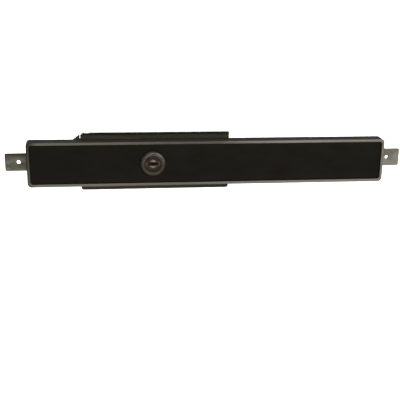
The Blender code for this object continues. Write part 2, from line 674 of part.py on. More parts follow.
def make_barrel_plug():
    """Plug with a domed boss, a level keyway, slots for the wafers and a square tail with a screw hole."""
    head = PLUG_HEAD_DIAMETER / 2
    body = PLUG_DIAMETER / 2
    boss = PLUG_BOSS_DIAMETER / 2
    plug = turned("barrel_plug", [
        (0, PLUG_FRONT - PLUG_BOSS_HEIGHT),
        (boss - PLUG_BOSS_SLOPE, PLUG_FRONT - PLUG_BOSS_HEIGHT + PLUG_BOSS_CROWN),
        (boss, PLUG_FRONT),
        (head - PLUG_HEAD_CHAMFER, PLUG_FRONT),
        (head, PLUG_FRONT + PLUG_HEAD_CHAMFER),
        (head, PLUG_HEAD_BACK),
        (body, PLUG_HEAD_BACK),
        (body, BARREL_BACK),
        (0, BARREL_BACK),
    ])
    tail = TAIL_SQUARE / 2
    join(plug, box("tail", (-tail, tail), (BARREL_BACK - OVERCUT, DISC_BACK), (-tail, tail)))
    keyway_depths = (PLUG_FRONT - OVERCUT, LAST_WAFER + HALF_SLOT)
    cut(plug, box("keyway", (-KEYWAY_WIDTH / 2, KEYWAY_WIDTH / 2), keyway_depths,
                  (-KEYWAY_HEIGHT / 2, KEYWAY_HEIGHT / 2)))
    slot_half_height = WAFER_HEIGHT / 2 + CLEARANCE
    for y in WAFER_PLACES:
        cut(plug, box("slot", (-PLUG_DIAMETER, PLUG_DIAMETER), (y - HALF_SLOT, y + HALF_SLOT),
                      (-slot_half_height, slot_half_height)))
    hole = DISC_SCREW_DIAMETER / 2 + CLEARANCE
    cut(plug, rod("hole", hole, DISC_BACK - TAIL_HOLE_DEPTH, DISC_BACK + OVERCUT))
    for z in (-PLUG_DIMPLE_RADIUS, PLUG_DIMPLE_RADIUS):
        dimple = rod("dimple", PLUG_DIMPLE_DIAMETER / 2, PLUG_FRONT - OVERCUT, PLUG_FRONT + PLUG_DIMPLE_DEPTH,
                     DIMPLE_SEGMENTS)
        cut(plug, shift(dimple, z=z))
    return dull_nickel(plug)


def make_wafer(number, y):
    """Thin sheet tumbler with a window for the key, as wide as the plug at its own height."""
    half_height = WAFER_HEIGHT / 2
    half_width = sqrt((PLUG_DIAMETER / 2) ** 2 - half_height ** 2)
    window = half_width - WAFER_SIDE
    front = y - WAFER_THICKNESS / 2
    back = y + WAFER_THICKNESS / 2
    wafer = box(f"wafer_{number}", (-half_width, half_width), (front, back), (-half_height, half_height))
    cut(wafer, box("window", (-window, window), (front - OVERCUT, back + OVERCUT),
                   (-WAFER_WINDOW_HEIGHT / 2, WAFER_WINDOW_HEIGHT / 2)))
    return brass(wafer)


def pin_places():
    """Each drive pin's place at rest, half a quarter turn before its middle: the upper one drives right."""
    return {"right": (-PIN_OFFSET, PIN_OFFSET), "left": (PIN_OFFSET, -PIN_OFFSET)}


def make_drive_disc():
    """Round disc with a square hole for the plug's tail and two holes for the pins."""
    disc = rod("drive_disc", DISC_RADIUS, DISC_FRONT, DISC_BACK, ROUND_SEGMENTS)
    tail = TAIL_SQUARE / 2 + CLEARANCE
    through = (DISC_FRONT - OVERCUT, DISC_BACK + OVERCUT)
    cut(disc, box("square", (-tail, tail), through, (-tail, tail)))
    for x, z in pin_places().values():
        cut(disc, shift(rod("hole", PIN_DIAMETER / 2 + CLEARANCE, *through), x=x, z=z))
    return zinc_plate(disc)


def make_drive_pin(side, x, z):
    """Headed pin from the disc's front through the tongue's fork."""
    pin = turned(side + "_drive_pin", [
        (0, PIN_HEAD_FRONT),
        (PIN_HEAD_DIAMETER / 2, PIN_HEAD_FRONT),
        (PIN_HEAD_DIAMETER / 2, PIN_HEAD_BACK),
        (PIN_DIAMETER / 2, PIN_HEAD_BACK),
        (PIN_DIAMETER / 2, MECHANISM_BACK),
        (0, MECHANISM_BACK),
    ], SMALL_ROUND_SEGMENTS)
    pin.location = (x, 0, z)
    return plain_steel(pin)


def make_disc_washer():
    """Flat washer between the disc and its screw's head."""
    bore = DISC_SCREW_DIAMETER / 2 + CLEARANCE
    edge = WASHER_DIAMETER / 2
    washer = turned("disc_washer", [
        (bore, WASHER_FRONT), (edge, WASHER_FRONT), (edge, WASHER_BACK), (bore, WASHER_BACK),
    ], SMALL_ROUND_SEGMENTS)
    return plain_steel(washer)


def make_disc_screw():
    """Low-headed screw in the plug's tail."""
    shank = DISC_SCREW_DIAMETER / 2
    head = DISC_SCREW_HEAD_DIAMETER / 2
    screw = turned("disc_screw", [
        (0, WASHER_BACK - DISC_SCREW_LENGTH),
        (shank, WASHER_BACK - DISC_SCREW_LENGTH),
        (shank, DISC_SCREW_HEAD_FRONT),
        (head, DISC_SCREW_HEAD_FRONT),
        (head, MECHANISM_BACK),
        (0, MECHANISM_BACK),
    ], SMALL_ROUND_SEGMENTS)
    recess = (MECHANISM_BACK - DISC_SCREW_RECESS, MECHANISM_BACK + OVERCUT)
    for length, width in ((CROSS_LENGTH, CROSS_WIDTH), (CROSS_WIDTH, CROSS_LENGTH)):
        cut(screw, box("cross", (-length / 2, length / 2), recess, (-width / 2, width / 2)))
    return plain_steel(screw)


def tongue_outline(tip):
    """The right tongue's outline about the barrel's axis: a fork, a shoulder and a strip to the tip."""
    half_height = TONGUE_HEIGHT / 2
    slot_left = -PIN_OFFSET - FORK_SLOT_WIDTH / 2
    slot_right = -PIN_OFFSET + FORK_SLOT_WIDTH / 2
    slot_end = PIN_CIRCLE_RADIUS + PIN_DIAMETER / 2 + PIN_SLOT_GAP
    corner = TONGUE_CORNER_RADIUS
    return rounded([
        (STRIP_START, -half_height, corner),
        (tip, -half_height, corner),
        (tip, half_height, corner),
        (SHOULDER_END, half_height, corner),
        (SHOULDER_END - FORK_SLOPE, FORK_OUTER_EDGE, corner),
        (-FORK_TIP, FORK_OUTER_EDGE, corner),
        (-FORK_TIP, FORK_INNER_EDGE, corner),
        (slot_left, FORK_INNER_EDGE, 0),
        (slot_left, slot_end, corner),
        (slot_right, slot_end, corner),
        (slot_right, FORK_INNER_EDGE, 0),
        (STRIP_START, FORK_INNER_EDGE, corner),
    ])


def make_tongue(side, direction):
    """Stamped sliding strip with a fork at the barrel and a hole at its tip."""
    tip = BAR_LENGTH / 2 + TONGUE_REACH - direction * BARREL_X
    outline = [(direction * x, direction * z) for x, z in tongue_outline(tip)]
    tongue = prism(side + "_tongue", outline, TONGUE_FRONT, TONGUE_BACK)
    hole = rod("hole", TONGUE_HOLE_DIAMETER / 2, TONGUE_FRONT - OVERCUT, TONGUE_BACK + OVERCUT)
    cut(tongue, shift(hole, x=direction * (tip - TONGUE_HOLE_FROM_TIP)))
    return zinc_plate(tongue)


def hang(pivot_name, items):
    """Parents items, modelled about the barrel's axis, to an empty on that axis."""
    pivot = bpy.data.objects.new(pivot_name, None)
    pivot.location = (BARREL_X, 0, 0)
    bpy.context.scene.collection.objects.link(pivot)
    for item in items:
        item.parent = pivot


def make_fasteners():
    """Screws of the lock plate and of the keepers, numbered from the lower left."""
    plate_guides = (GUIDES["left_inner"], GUIDES["right_inner"])
    keeper_guides = (GUIDES["left_outer"], GUIDES["right_outer"])
    for kind, places, back in (("plate", plate_guides, 0), ("keeper", keeper_guides, KEEPER_BACK)):
        spots = [(x, z) for x in places for z in (-GUIDE_SCREW_Z, GUIDE_SCREW_Z)]
        for number, (x, z) in enumerate(spots, start=1):
            make_screw(f"{kind}_screw_{number}", x, z, back)


def build():
    """Models every piece of the lock handle."""
    clear_scene()
    make_casing()
    make_face_plate()
    make_lock_plate()
    for place, x in GUIDES.items():
        make_guide(place, x)
    make_keeper("left", GUIDES["left_outer"])
    make_keeper("right", GUIDES["right_outer"])
    make_fasteners()
    fixed_barrel = [make_barrel_housing(), make_barrel_nut()]
    hang("barrel_seat", fixed_barrel)
    turning = [make_barrel_plug(), make_drive_disc(), make_disc_washer(), make_disc_screw()]
    turning += [make_wafer(number, y) for number, y in enumerate(WAFER_PLACES, start=1)]
    turning += [make_drive_pin(side, x, z) for side, (x, z) in pin_places().items()]
    hang("plug_axis", turning)
    hang("left_slide_axis", [make_tongue("left", -1)])
    hang("right_slide_axis", [make_tongue("right", 1)])
    bpy.context.view_layer.update()


build()
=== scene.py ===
from math import cos, radians, sin

import bmesh
import bpy
import numpy as np
from mathutils import Matrix, Vector


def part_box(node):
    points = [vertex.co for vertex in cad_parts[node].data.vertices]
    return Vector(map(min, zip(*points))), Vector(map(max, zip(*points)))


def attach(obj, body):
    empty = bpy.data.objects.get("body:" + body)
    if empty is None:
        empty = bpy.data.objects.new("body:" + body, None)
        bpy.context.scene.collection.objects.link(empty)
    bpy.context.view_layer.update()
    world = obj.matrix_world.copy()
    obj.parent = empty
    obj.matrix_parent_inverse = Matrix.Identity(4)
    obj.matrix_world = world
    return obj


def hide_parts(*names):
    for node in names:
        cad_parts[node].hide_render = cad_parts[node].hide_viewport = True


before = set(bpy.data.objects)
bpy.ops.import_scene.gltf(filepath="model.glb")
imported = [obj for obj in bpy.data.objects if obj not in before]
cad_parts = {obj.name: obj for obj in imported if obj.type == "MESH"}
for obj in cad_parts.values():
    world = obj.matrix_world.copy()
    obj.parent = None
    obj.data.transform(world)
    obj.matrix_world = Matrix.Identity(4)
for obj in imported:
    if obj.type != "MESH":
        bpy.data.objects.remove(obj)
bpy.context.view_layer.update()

MM = 0.001
MERGE_DISTANCE = 0.001 * MM

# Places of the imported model's pieces
CASING_LOW, CASING_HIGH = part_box("casing")
FACE_LOW, FACE_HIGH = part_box("face_plate")
BARREL_LOW, BARREL_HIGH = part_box("barrel_housing")
PLATE_LOW, PLATE_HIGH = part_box("lock_plate")

# Casing: the bar is END_DRAFT longer at each end of its back than at its front
END_DRAFT = 1.5 * MM
HALF_LENGTH = CASING_HIGH[0] - END_DRAFT
HALF_HEIGHT = CASING_HIGH[2]
RIM_FRONT = CASING_LOW[1]
CASING_BACK = CASING_HIGH[1]
CORNER_RADIUS = 3.0 * MM
CAVITY_CORNER_RADIUS = 1.0 * MM
FACE_CORNER_RADIUS = 2.0 * MM
SIDE_WALL = 2.0 * MM
FRONT_WALL = 2.0 * MM
RIM_WIDTH = 2.2 * MM
FACE_DEPTH = 2.2 * MM
RIM_OUTER_ROUND = 0.75 * MM
RIM_INNER_ROUND = 0.45 * MM
SMALL_ROUND = 0.2 * MM
CAVITY_FILLET = 0.9 * MM
NOTCH_GAP = 0.3 * MM
TONGUE_HALF_HEIGHT = 6.8 * MM
NOTCH_HALF_HEIGHT = TONGUE_HALF_HEIGHT + NOTCH_GAP
NOTCH_DEPTH = CASING_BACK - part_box("right_tongue")[0][1] + NOTCH_GAP
NOTCH_CORNER = 0.15 * MM
SUNK_FACE = RIM_FRONT + FACE_DEPTH
CAVITY_FLOOR = SUNK_FACE + FRONT_WALL
CAVITY_HALF_HEIGHT = HALF_HEIGHT - SIDE_WALL

# Straight runs of a profile beside its rounded corners
FACE_RUN = 1.0 * MM
NOTCH_RUN = 1.0 * MM
FLOOR_RUN = 2.0 * MM
EDGE_RUN = 2 * SMALL_ROUND

# Points of a bar ring: along a long side, up an end from notch to notch, and round each corner
SIDE_POINTS = 72
END_RUN = np.array([-NOTCH_HALF_HEIGHT - NOTCH_CORNER, -NOTCH_HALF_HEIGHT, 0, NOTCH_HALF_HEIGHT,
                    NOTCH_HALF_HEIGHT + NOTCH_CORNER])
ARC_STEPS = 12

# Ribs, bosses and ejector marks in the casing's back
RIB_HALF_THICKNESS = 0.6 * MM
RIB_HEIGHT = 2.4 * MM
RIB_SPACING = 20.0 * MM
RIB_ROUND = 0.4 * MM
RIB_SUNK = 0.3 * MM
GUIDE_HALF_LENGTH = 6.0 * MM
GUIDE_SCREW_Z = (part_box("keeper_screw_1")[0][2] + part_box("keeper_screw_1")[1][2]) / 2
GUIDE_BOSS_RADIUS = 3.25 * MM
GUIDE_BOSS_HEIGHT = 3.0 * MM
SCREW_HOLE_RADIUS = 1.6 * MM
SCREW_HOLE_DEPTH = 2.5 * MM
FIXING_X = 110.1 * MM
FIXING_Z = 10.9 * MM
FIXING_BOSS_RADIUS = 3.4 * MM
FIXING_HOLE_RADIUS = 1.7 * MM
FIXING_HOLE_DEPTH = 7.0 * MM
BOSS_FOOT = 0.6 * MM
BOSS_SEGMENTS = 32
EJECTOR_RADIUS = 2.4 * MM
EJECTOR_HEIGHT = 0.15 * MM
EJECTOR_SEGMENTS = 24
EJECTOR_PLACES = ((-61, 9), (-61, -9), (26, 9), (26, -9), (62, 9), (62, -9), (97, 9), (97, -9))

# Barrel
BARREL_X = (BARREL_LOW[0] + BARREL_HIGH[0]) / 2
COLLAR_RADIUS = (BARREL_HIGH[0] - BARREL_LOW[0]) / 2
COLLAR_FRONT = BARREL_LOW[1]
BARREL_BACK = BARREL_HIGH[1]
BODY_RADIUS = 8.0 * MM
BODY_HALF_FLATS = 7.0 * MM
BORE_RADIUS = 5.7 * MM
HEAD_BORE_RADIUS = 6.3 * MM
HEAD_BORE_BACK = -13.7 * MM
COLLAR_THICKNESS = 1.6 * MM
COLLAR_DISH = 0.1 * MM
COLLAR_SLOPE = 0.9 * MM
COLLAR_SLOPE_WIDTH = 1.1 * MM
COLLAR_ROUND = 0.9 * MM
THREAD_PITCH = 1.0 * MM
THREAD_DEPTH = 0.3 * MM
THREAD_CELLS = 8
BARREL_SEGMENTS = 72
HOLE_GAP = 0.3 * MM
NUT_RADIUS = 12.12 * MM

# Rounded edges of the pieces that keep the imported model's form, and the angles between faces
# under which they count as one flat, or as no edge to be rounded
SHEET_EDGE = 0.25 * MM
STRIP_EDGE = 0.2 * MM
NUT_EDGE = 0.2 * MM
PLUG_EDGE = 0.12 * MM
DISC_EDGE = 0.15 * MM
GUIDE_EDGE = 0.3 * MM
SCREW_EDGE = 0.08 * MM
FLAT_ANGLE = radians(1)
ROUNDED_ANGLE = radians(32)

# Where the casing's finish changes, in millimetres: each pair is where a change starts and ends
PLATE_MIDDLE = ((PLATE_LOW[0] + PLATE_HIGH[0]) / 2, 0, 0)
PLATE_HALF = (PLATE_HIGH[0] - PLATE_LOW[0]) / 2 / MM
BAR_REACH = (-HALF_LENGTH / MM, HALF_LENGTH / MM)
RUBBED_DEPTH = (RIM_FRONT / MM + 0.7, RIM_FRONT / MM + 0.25)
UPPER_TO_LOWER = (13.0, -15.0)
# Painted light on the upper side before the lock plate, where the plate shades it
LIT_SHELF_SPAN = (PLATE_HALF + 1, PLATE_HALF - 3)
LIT_SHELF_DEPTH = (-15.0, -10.0)
LIT_SHELF_LEVEL = (16.6, 16.95)
# Painted shade on the upper side towards its back
BACK_SHADE_DEPTH = (-14.0, -9.5)
BACK_SHADE_LEVEL = (16.0, 16.7)

# The same for the inlay, the lock plate and the tongues
FACE_FOOT = (-6.0, -14.0)
FACE_HEAD = (7.0, 13.0)
FACE_LEFT = (60.0, -80.0)
PLATE_SPAN = (-80.0, 24.0)
PLATE_FOOT = (21.0, 17.5)
PLATE_HEAD = (19.4, 20.6)
# Painted light on the tongues next to the bar
NEAR_BAR_SPAN = (148.0, 141.0)
TONGUE_HEAD = (1.0, 6.0)

# The same for the barrel: distances from its axis, or from the level of that axis
COLLAR_EDGE = (7.4, 8.8)
COLLAR_HEAD = (-2.0, 5.0)
BOSS_EDGE = (3.7, 3.1)
KEYWAY_EDGE = (2.2, 1.5)
WINDOW_EDGE = (5.6, 4.9)

# Colours: a pair is the two ends of a mottled finish
PAINT = ((0.017, 0.016, 0.013), (0.026, 0.024, 0.019))
PAINT_SCUFF = (0.075, 0.070, 0.060)
# Colour of the painted shade on the back of the upper side
PAINT_BACK_SHADE = (0.004, 0.004, 0.002)
# Colour of the painted light before the lock plate
SHELF_PAINTED_LIGHT = (0.048, 0.042, 0.031)
RIM_GRAIN = (0.06, 0.056, 0.048)
INLAY = ((0.0045, 0.0045, 0.0034), (0.0060, 0.0060, 0.0046))
INLAY_FOOT = ((0.0070, 0.0046, 0.0034), (0.0088, 0.0060, 0.0044))
INLAY_HEAD = ((0.0046, 0.0054, 0.0024), (0.0060, 0.0068, 0.0032))
INLAY_LEFT = (0.0087, 0.0076, 0.0057)
INLAY_DUST = (0.06, 0.058, 0.05)
PLATE_SHADE = (0.010, 0.008, 0.004)
# Colour of the painted light on the lock plate's foot, above the bar that shades it
PLATE_FOOT_LIGHT = (0.058, 0.054, 0.040)
# Colour of the painted shade along the lock plate's edges and over its top
PLATE_EDGE_SHADE = (0.004, 0.003, 0.002)
PLATE_CHIP = (0.15, 0.14, 0.12)
COLLAR_DULL = ((0.049, 0.042, 0.036), (0.083, 0.072, 0.062))
COLLAR_BRIGHT = ((0.075, 0.066, 0.058), (0.120, 0.108, 0.096))
COLLAR_UPPER_HIGHLIGHT = (0.19, 0.175, 0.158)
COLLAR_TARNISH = (0.060, 0.044, 0.033)
PLUG_AGED = ((0.019, 0.0130, 0.0085), (0.040, 0.029, 0.021))
PLUG_RUBBED = ((0.125, 0.113, 0.098), (0.195, 0.178, 0.158))
KEYWAY_SHADE = (0.070, 0.052, 0.037)
ZINC = ((0.120, 0.117, 0.104), (0.205, 0.200, 0.182))
ZINC_BROWN = (0.098, 0.086, 0.072)
ZINC_EDGE_DARK = (0.055, 0.052, 0.040)
ZINC_EDGE = (0.27, 0.265, 0.25)
OLIVE_CAST = (0.108, 0.108, 0.074)
# Colour of the painted light on the left tongue next to the bar
OLIVE_NEAR_BAR_LIGHT = (0.215, 0.212, 0.160)
GREY_CAST = (0.175, 0.168, 0.150)
DISC_ZINC = ((0.15, 0.145, 0.12), (0.24, 0.235, 0.20))
DISC_SCORED = (0.38, 0.37, 0.35)
STEEL = ((0.30, 0.295, 0.28), (0.48, 0.475, 0.46))
BRASS = ((0.50, 0.35, 0.14), (0.34, 0.22, 0.09))
BRASS_KEYWAY_SHADE = (0.115, 0.092, 0.068)
NYLON = ((0.60, 0.58, 0.51), (0.70, 0.68, 0.62))
NYLON_GREASE = (0.34, 0.31, 0.24)

# Colours along the bar's rubbed rim, from its left end at 0 to its right end at 1: grey rubbed
# metal with painted highlight, most right of the middle, and painted shade at the left end and in
# the middle, set apart for the upper and the lower rim
RIM_UPPER = (
    (0.0, (0.028, 0.026, 0.021)), (0.012, (0.042, 0.040, 0.033)), (0.03, (0.168, 0.159, 0.141)),
    (0.26, (0.122, 0.114, 0.098)), (0.43, (0.072, 0.070, 0.058)), (0.52, (0.082, 0.079, 0.066)),
    (0.60, (0.175, 0.166, 0.146)), (0.74, (0.250, 0.238, 0.212)), (0.88, (0.215, 0.205, 0.182)),
    (0.985, (0.205, 0.195, 0.173)), (1.0, (0.190, 0.182, 0.162)),
)
RIM_LOWER = (
    (0.0, (0.075, 0.071, 0.062)), (0.03, (0.225, 0.214, 0.190)), (0.43, (0.145, 0.137, 0.118)),
    (0.60, (0.215, 0.205, 0.182)), (0.985, (0.235, 0.224, 0.200)), (1.0, (0.190, 0.182, 0.162)),
)

# Colours along the lock plate, from its left end at 0 to its right end at 1
PLATE_CAST = (
    (0.0, (0.0275, 0.0235, 0.0140)), (0.35, (0.0335, 0.0250, 0.0160)),
    (0.62, (0.0270, 0.0232, 0.0130)), (0.85, (0.0138, 0.0158, 0.0072)),
    (1.0, (0.0050, 0.0075, 0.0015)),
)

# Camera, fitted to the bar's outline in the photograph
CAMERA_PLACE = (-0.06523, -0.50148, 0.11475)
CAMERA_YAW = radians(6.765)
CAMERA_PITCH = radians(16.4105)
CAMERA_ROLL = radians(0.6867)
CAMERA_LENS = 59.1724
CAMERA_SENSOR = 36.0
CAMERA_CLIP = (0.01, 30)

# Studio: lights are a name, a place, the point they face, a size, watts and a colour
STUDIO_WHITE = (1.0, 1.0, 0.985)
SURROUNDINGS = (1.0, 0.97, 0.89, 1)
SURROUNDINGS_STRENGTH = 0.12
DOME_RADIUS = 6.0
DOME_CELLS = (16, 32)
DOME_GLOW = 1.2
FLOOR_REACH = 4.0
FLOOR_LEVEL = -0.3
FLOOR_GLOW = 1.0
LIGHTS = (
    ("front light", (0.35, -1.3, 0.55), (0, 0, 0), (1.0, 0.8), 13.0, (1.0, 0.975, 0.905)),
    ("right light", (1.1, -0.9, 0.25), (0.05, 0, 0), (0.5, 0.9), 6.0, (1.0, 0.965, 0.88)),
    ("low light", (0.1, -0.9, -0.75), (0, 0, 0), (1.4, 0.3), 5.5, (1.0, 0.965, 0.88)),
    ("top light", (0.0, 1.6, 0.7), (0, 0, 0), (2.4, 0.9), 1.3, (1.0, 0.965, 0.87)),
    ("rear light", (0.0, 1.7, -0.06), (0, 0, 0), (2.0, 0.3), 12.0, (1, 1, 1)),
)


def surface(name, grids, wrap_rows=False, wrap_columns=False, sharp=35):
    """One mesh from grids of points with rows, columns and three coordinates: each cell becomes a
    quad, rows or columns may close on themselves, and rows that shrink to a point become a pole of
    triangles. Edges sharper than sharp degrees stay sharp."""
    points = []
    quads = []
    start = 0
    for grid in grids:
        rows, columns = grid.shape[:2]
        index = start + np.arange(rows * columns).reshape(rows, columns)
        if wrap_rows:
            index = np.vstack([index, index[:1]])
        if wrap_columns:
            index = np.hstack([index, index[:, :1]])
        cells = [index[:-1, :-1], index[:-1, 1:], index[1:, 1:], index[1:, :-1]]
        quads.append(np.stack(cells, -1).reshape(-1, 4))
        points.append(grid.reshape(-1, 3))
        start += rows * columns
    mesh = bpy.data.meshes.new(name)
    mesh.from_pydata(np.vstack(points).tolist(), [], np.vstack(quads).tolist())
    shape = bmesh.new()
    shape.from_mesh(mesh)
    bmesh.ops.remove_doubles(shape, verts=shape.verts, dist=MERGE_DISTANCE)
    bmesh.ops.dissolve_degenerate(shape, edges=shape.edges, dist=MERGE_DISTANCE)
    bmesh.ops.recalc_face_normals(shape, faces=shape.faces)
    shape.to_mesh(mesh)
    shape.free()
    mesh.shade_smooth()
    mesh.set_sharp_from_angle(angle=radians(sharp))
    return placed(name, mesh)


def placed(name, data):
    """New object in the scene that holds a mesh, a light or a camera."""
    made = bpy.data.objects.new(name, data)
    bpy.context.scene.collection.objects.link(made)
    return made


def rounded(corners, steps=5):
    """Open profile of straight runs through (a, b, radius) corners: each inner corner is an arc of
    its radius, steps cells long, between the two points where it touches the runs."""
    runs = []
    for before, corner, after in zip([None] + corners[:-1], corners, corners[1:] + [None]):
        point = np.array(corner[:2])
        if before is None or after is None or corner[2] == 0:
            runs.append(point[None])
            continue
        towards = np.array(before[:2]) - point
        away = np.array(after[:2]) - point
        towards /= np.linalg.norm(towards)
        away /= np.linalg.norm(away)
        half = np.arccos(np.clip(towards @ away, -1, 1)) / 2
        middle = (towards + away) / np.linalg.norm(towards + away)
        centre = point + middle * corner[2] / np.sin(half)
        spread = np.pi / 2 - half
        turn = np.linspace(-spread, spread, steps + 1)
        sideways = away - middle * (away @ middle)
        sideways /= np.linalg.norm(sideways)
        reach = np.sin(turn)[:, None] * sideways - np.cos(turn)[:, None] * middle
        runs.append(centre + corner[2] * reach)
    return np.vstack(runs)


def turned(profile, centre, segments):
    """Grid of a profile of (radius, depth) points turned about a line along Y through centre
    (x, z): the point at angle a is (x + radius cos a, depth, z + radius sin a)."""
    angle = np.linspace(0, 2 * np.pi, segments, endpoint=False)
    radius, depth = np.asarray(profile).T
    x = centre[0] + radius[:, None] * np.cos(angle)
    z = centre[1] + radius[:, None] * np.sin(angle)
    y = np.repeat(depth[:, None], segments, axis=1)
    return np.stack([x, y, z], -1)


def bar_sides():
    """Places along the bar's long sides, at equal angles about the barrel: the point at angle a is
    the barrel's place plus half the bar's height over the tangent of a."""
    reach = HALF_LENGTH - CORNER_RADIUS - SIDE_WALL
    first, last = np.arctan2(HALF_HEIGHT, [reach - BARREL_X, -reach - BARREL_X])
    angle = np.linspace(first, last, SIDE_POINTS)
    return BARREL_X + HALF_HEIGHT / np.tan(angle)


SIDE_RUN = bar_sides()
SIDE_REACH = SIDE_RUN.max() + MERGE_DISTANCE


def bar_ring(inset, least=CAVITY_CORNER_RADIUS):
    """The bar's round-cornered oblong drawn in by inset, as (x, z) points: each corner is a quarter
    arc of the corner radius less the inset, or of the least radius, and the sides run straight
    between the arcs."""
    radius = max(CORNER_RADIUS - inset, least)
    across = HALF_LENGTH - inset
    up = HALF_HEIGHT - inset
    quarter = np.linspace(0, np.pi / 2, ARC_STEPS + 1)

    def arc(side, level, start):
        """Quarter circle round one corner, from the angle start."""
        turn = start + quarter
        return np.stack([side * (across - radius) + radius * np.cos(turn),
                         level * (up - radius) + radius * np.sin(turn)], -1)

    right = np.stack([np.full(len(END_RUN), across), END_RUN], -1)
    top = np.stack([SIDE_RUN, np.full(len(SIDE_RUN), up)], -1)
    return np.vstack([
        arc(1, -1, -np.pi / 2), right, arc(1, 1, 0), top,
        arc(-1, 1, np.pi / 2), right[::-1] * (-1, 1), arc(-1, -1, np.pi), top[::-1] * (1, -1),
    ])


def drafted(ring, depth, start):
    """A bar ring at a depth, with its ends moved out by the draft of the end walls: nothing at the
    start's depth, growing straight to the whole draft at the casing's back."""
    share = np.clip((np.asarray(depth) - start) / (CASING_BACK - start), 0, 1)
    side = np.where(np.abs(ring[:, 0]) > SIDE_REACH, np.sign(ring[:, 0]), 0)
    return np.stack([ring[:, 0] + END_DRAFT * share * side, ring[:, 1]], -1), depth


def in_notch():
    """Whether each point of a bar ring lies within the notch of a tongue, at the middle of an end
    wall."""
    across, up = np.abs(bar_ring(0)).T
    return (up <= NOTCH_HALF_HEIGHT + MERGE_DISTANCE) & (across > HALF_LENGTH - MERGE_DISTANCE)


def barrel_ring(gap):
    """Edge of the barrel's flat-sided hole, seen from the barrel's axis at the same angles as the
    bar's ring: the body's circle, cut off at the flats, with a gap all round."""
    x, z = (bar_ring(RIM_WIDTH) - (BARREL_X, 0)).T
    angle = np.arctan2(z, x)
    slope = np.maximum(np.abs(np.sin(angle)), 1e-6)
    radius = np.minimum(BODY_RADIUS + gap, (BODY_HALF_FLATS + gap) / slope)
    return np.stack([BARREL_X + radius * np.cos(angle), radius * np.sin(angle)], -1)


def ring_grid(rings):
    """Grid of rings of (x, z) points, each at its own depth or array of depths."""
    return np.stack([
        np.stack([ring[:, 0], np.broadcast_to(depth, len(ring)), ring[:, 1]], -1)
        for ring, depth in rings
    ])


def casing_shell():
    """The cast tray: a profile of (inset, depth) points carried round the bar, up the barrel's
    hole, over the sunk face, the rounded rim, the side and the back edge, and down the cavity to
    the hole again."""
    front = rounded([
        (RIM_WIDTH + FACE_RUN, SUNK_FACE, 0),
        (RIM_WIDTH, SUNK_FACE, SMALL_ROUND),
        (RIM_WIDTH, RIM_FRONT, RIM_INNER_ROUND),
        (0, RIM_FRONT, RIM_OUTER_ROUND),
        (0, CASING_BACK, 0),
    ])[:-1]
    edge = rounded([
        (0, CASING_BACK - EDGE_RUN, 0),
        (0, CASING_BACK, SMALL_ROUND),
        (SIDE_WALL, CASING_BACK, SMALL_ROUND),
        (SIDE_WALL, CASING_BACK - EDGE_RUN, 0),
    ])
    below_notch = CASING_BACK - NOTCH_DEPTH - NOTCH_RUN
    inside = rounded([
        (SIDE_WALL, below_notch, 0),
        (SIDE_WALL, CAVITY_FLOOR, CAVITY_FILLET),
        (SIDE_WALL + FLOOR_RUN, CAVITY_FLOOR, 0),
    ])
    behind_rim = RIM_FRONT + RIM_OUTER_ROUND
    sunk = np.where(in_notch(), NOTCH_DEPTH, 0)
    hole = barrel_ring(HOLE_GAP)
    rings = [(hole, CAVITY_FLOOR), (hole, SUNK_FACE)]
    rings += [(bar_ring(inset, FACE_CORNER_RADIUS), depth) for inset, depth in front]
    rings += [drafted(bar_ring(0), below_notch, behind_rim)]
    rings += [drafted(bar_ring(inset), depth - sunk, behind_rim) for inset, depth in edge]
    rings += [drafted(bar_ring(inset), depth, CAVITY_FLOOR) for inset, depth in inside]
    return surface("casing_shell", [ring_grid(rings)], wrap_rows=True, wrap_columns=True)


def guide_places():
    """Middle of each guide block along the bar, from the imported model."""
    names = ("left_outer_guide", "left_inner_guide", "right_inner_guide", "right_outer_guide")
    return [(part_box(name)[0][0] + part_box(name)[1][0]) / 2 for name in names]


def rib_places():
    """Evenly spread places of the ribs in each bay between guides, nut and fixing boss."""
    _, left_inner, right_inner, _ = guide_places()
    bays = [
        (left_inner + GUIDE_HALF_LENGTH, BARREL_X - NUT_RADIUS),
        (BARREL_X + NUT_RADIUS, right_inner - GUIDE_HALF_LENGTH),
        (right_inner + GUIDE_HALF_LENGTH, FIXING_X - FIXING_BOSS_RADIUS),
    ]
    places = []
    for start, end in bays:
        count = round((end - start) / RIB_SPACING)
        places += list(np.linspace(start, end, count + 2)[1:-1])
    return places


def casing_ribs():
    """Cross ribs on the cavity's floor: a round-topped section with a filleted foot, carried
    straight across the cavity and closed inside its walls."""
    top = CAVITY_FLOOR + RIB_HEIGHT
    foot = RIB_HALF_THICKNESS + BOSS_FOOT
    half = rounded([
        (foot, CAVITY_FLOOR - RIB_SUNK, 0),
        (foot, CAVITY_FLOOR, 0),
        (RIB_HALF_THICKNESS, CAVITY_FLOOR + BOSS_FOOT, RIB_ROUND),
        (RIB_HALF_THICKNESS, top, RIB_ROUND),
        (0, top, 0),
    ])
    section = np.vstack([half, half[-2::-1] * (-1, 1)])
    reach = CAVITY_HALF_HEIGHT + RIB_SUNK
    levels = np.array([-reach, -reach, reach, reach])
    spread = np.array([0, 1, 1, 0])[:, None]
    depth = CAVITY_FLOOR + spread * (section[:, 1] - CAVITY_FLOOR)
    height = np.broadcast_to(levels[:, None], depth.shape)
    grids = [np.stack([place + spread * section[:, 0], depth, height], -1)
             for place in rib_places()]
    return surface("casing_ribs", grids, wrap_columns=True)


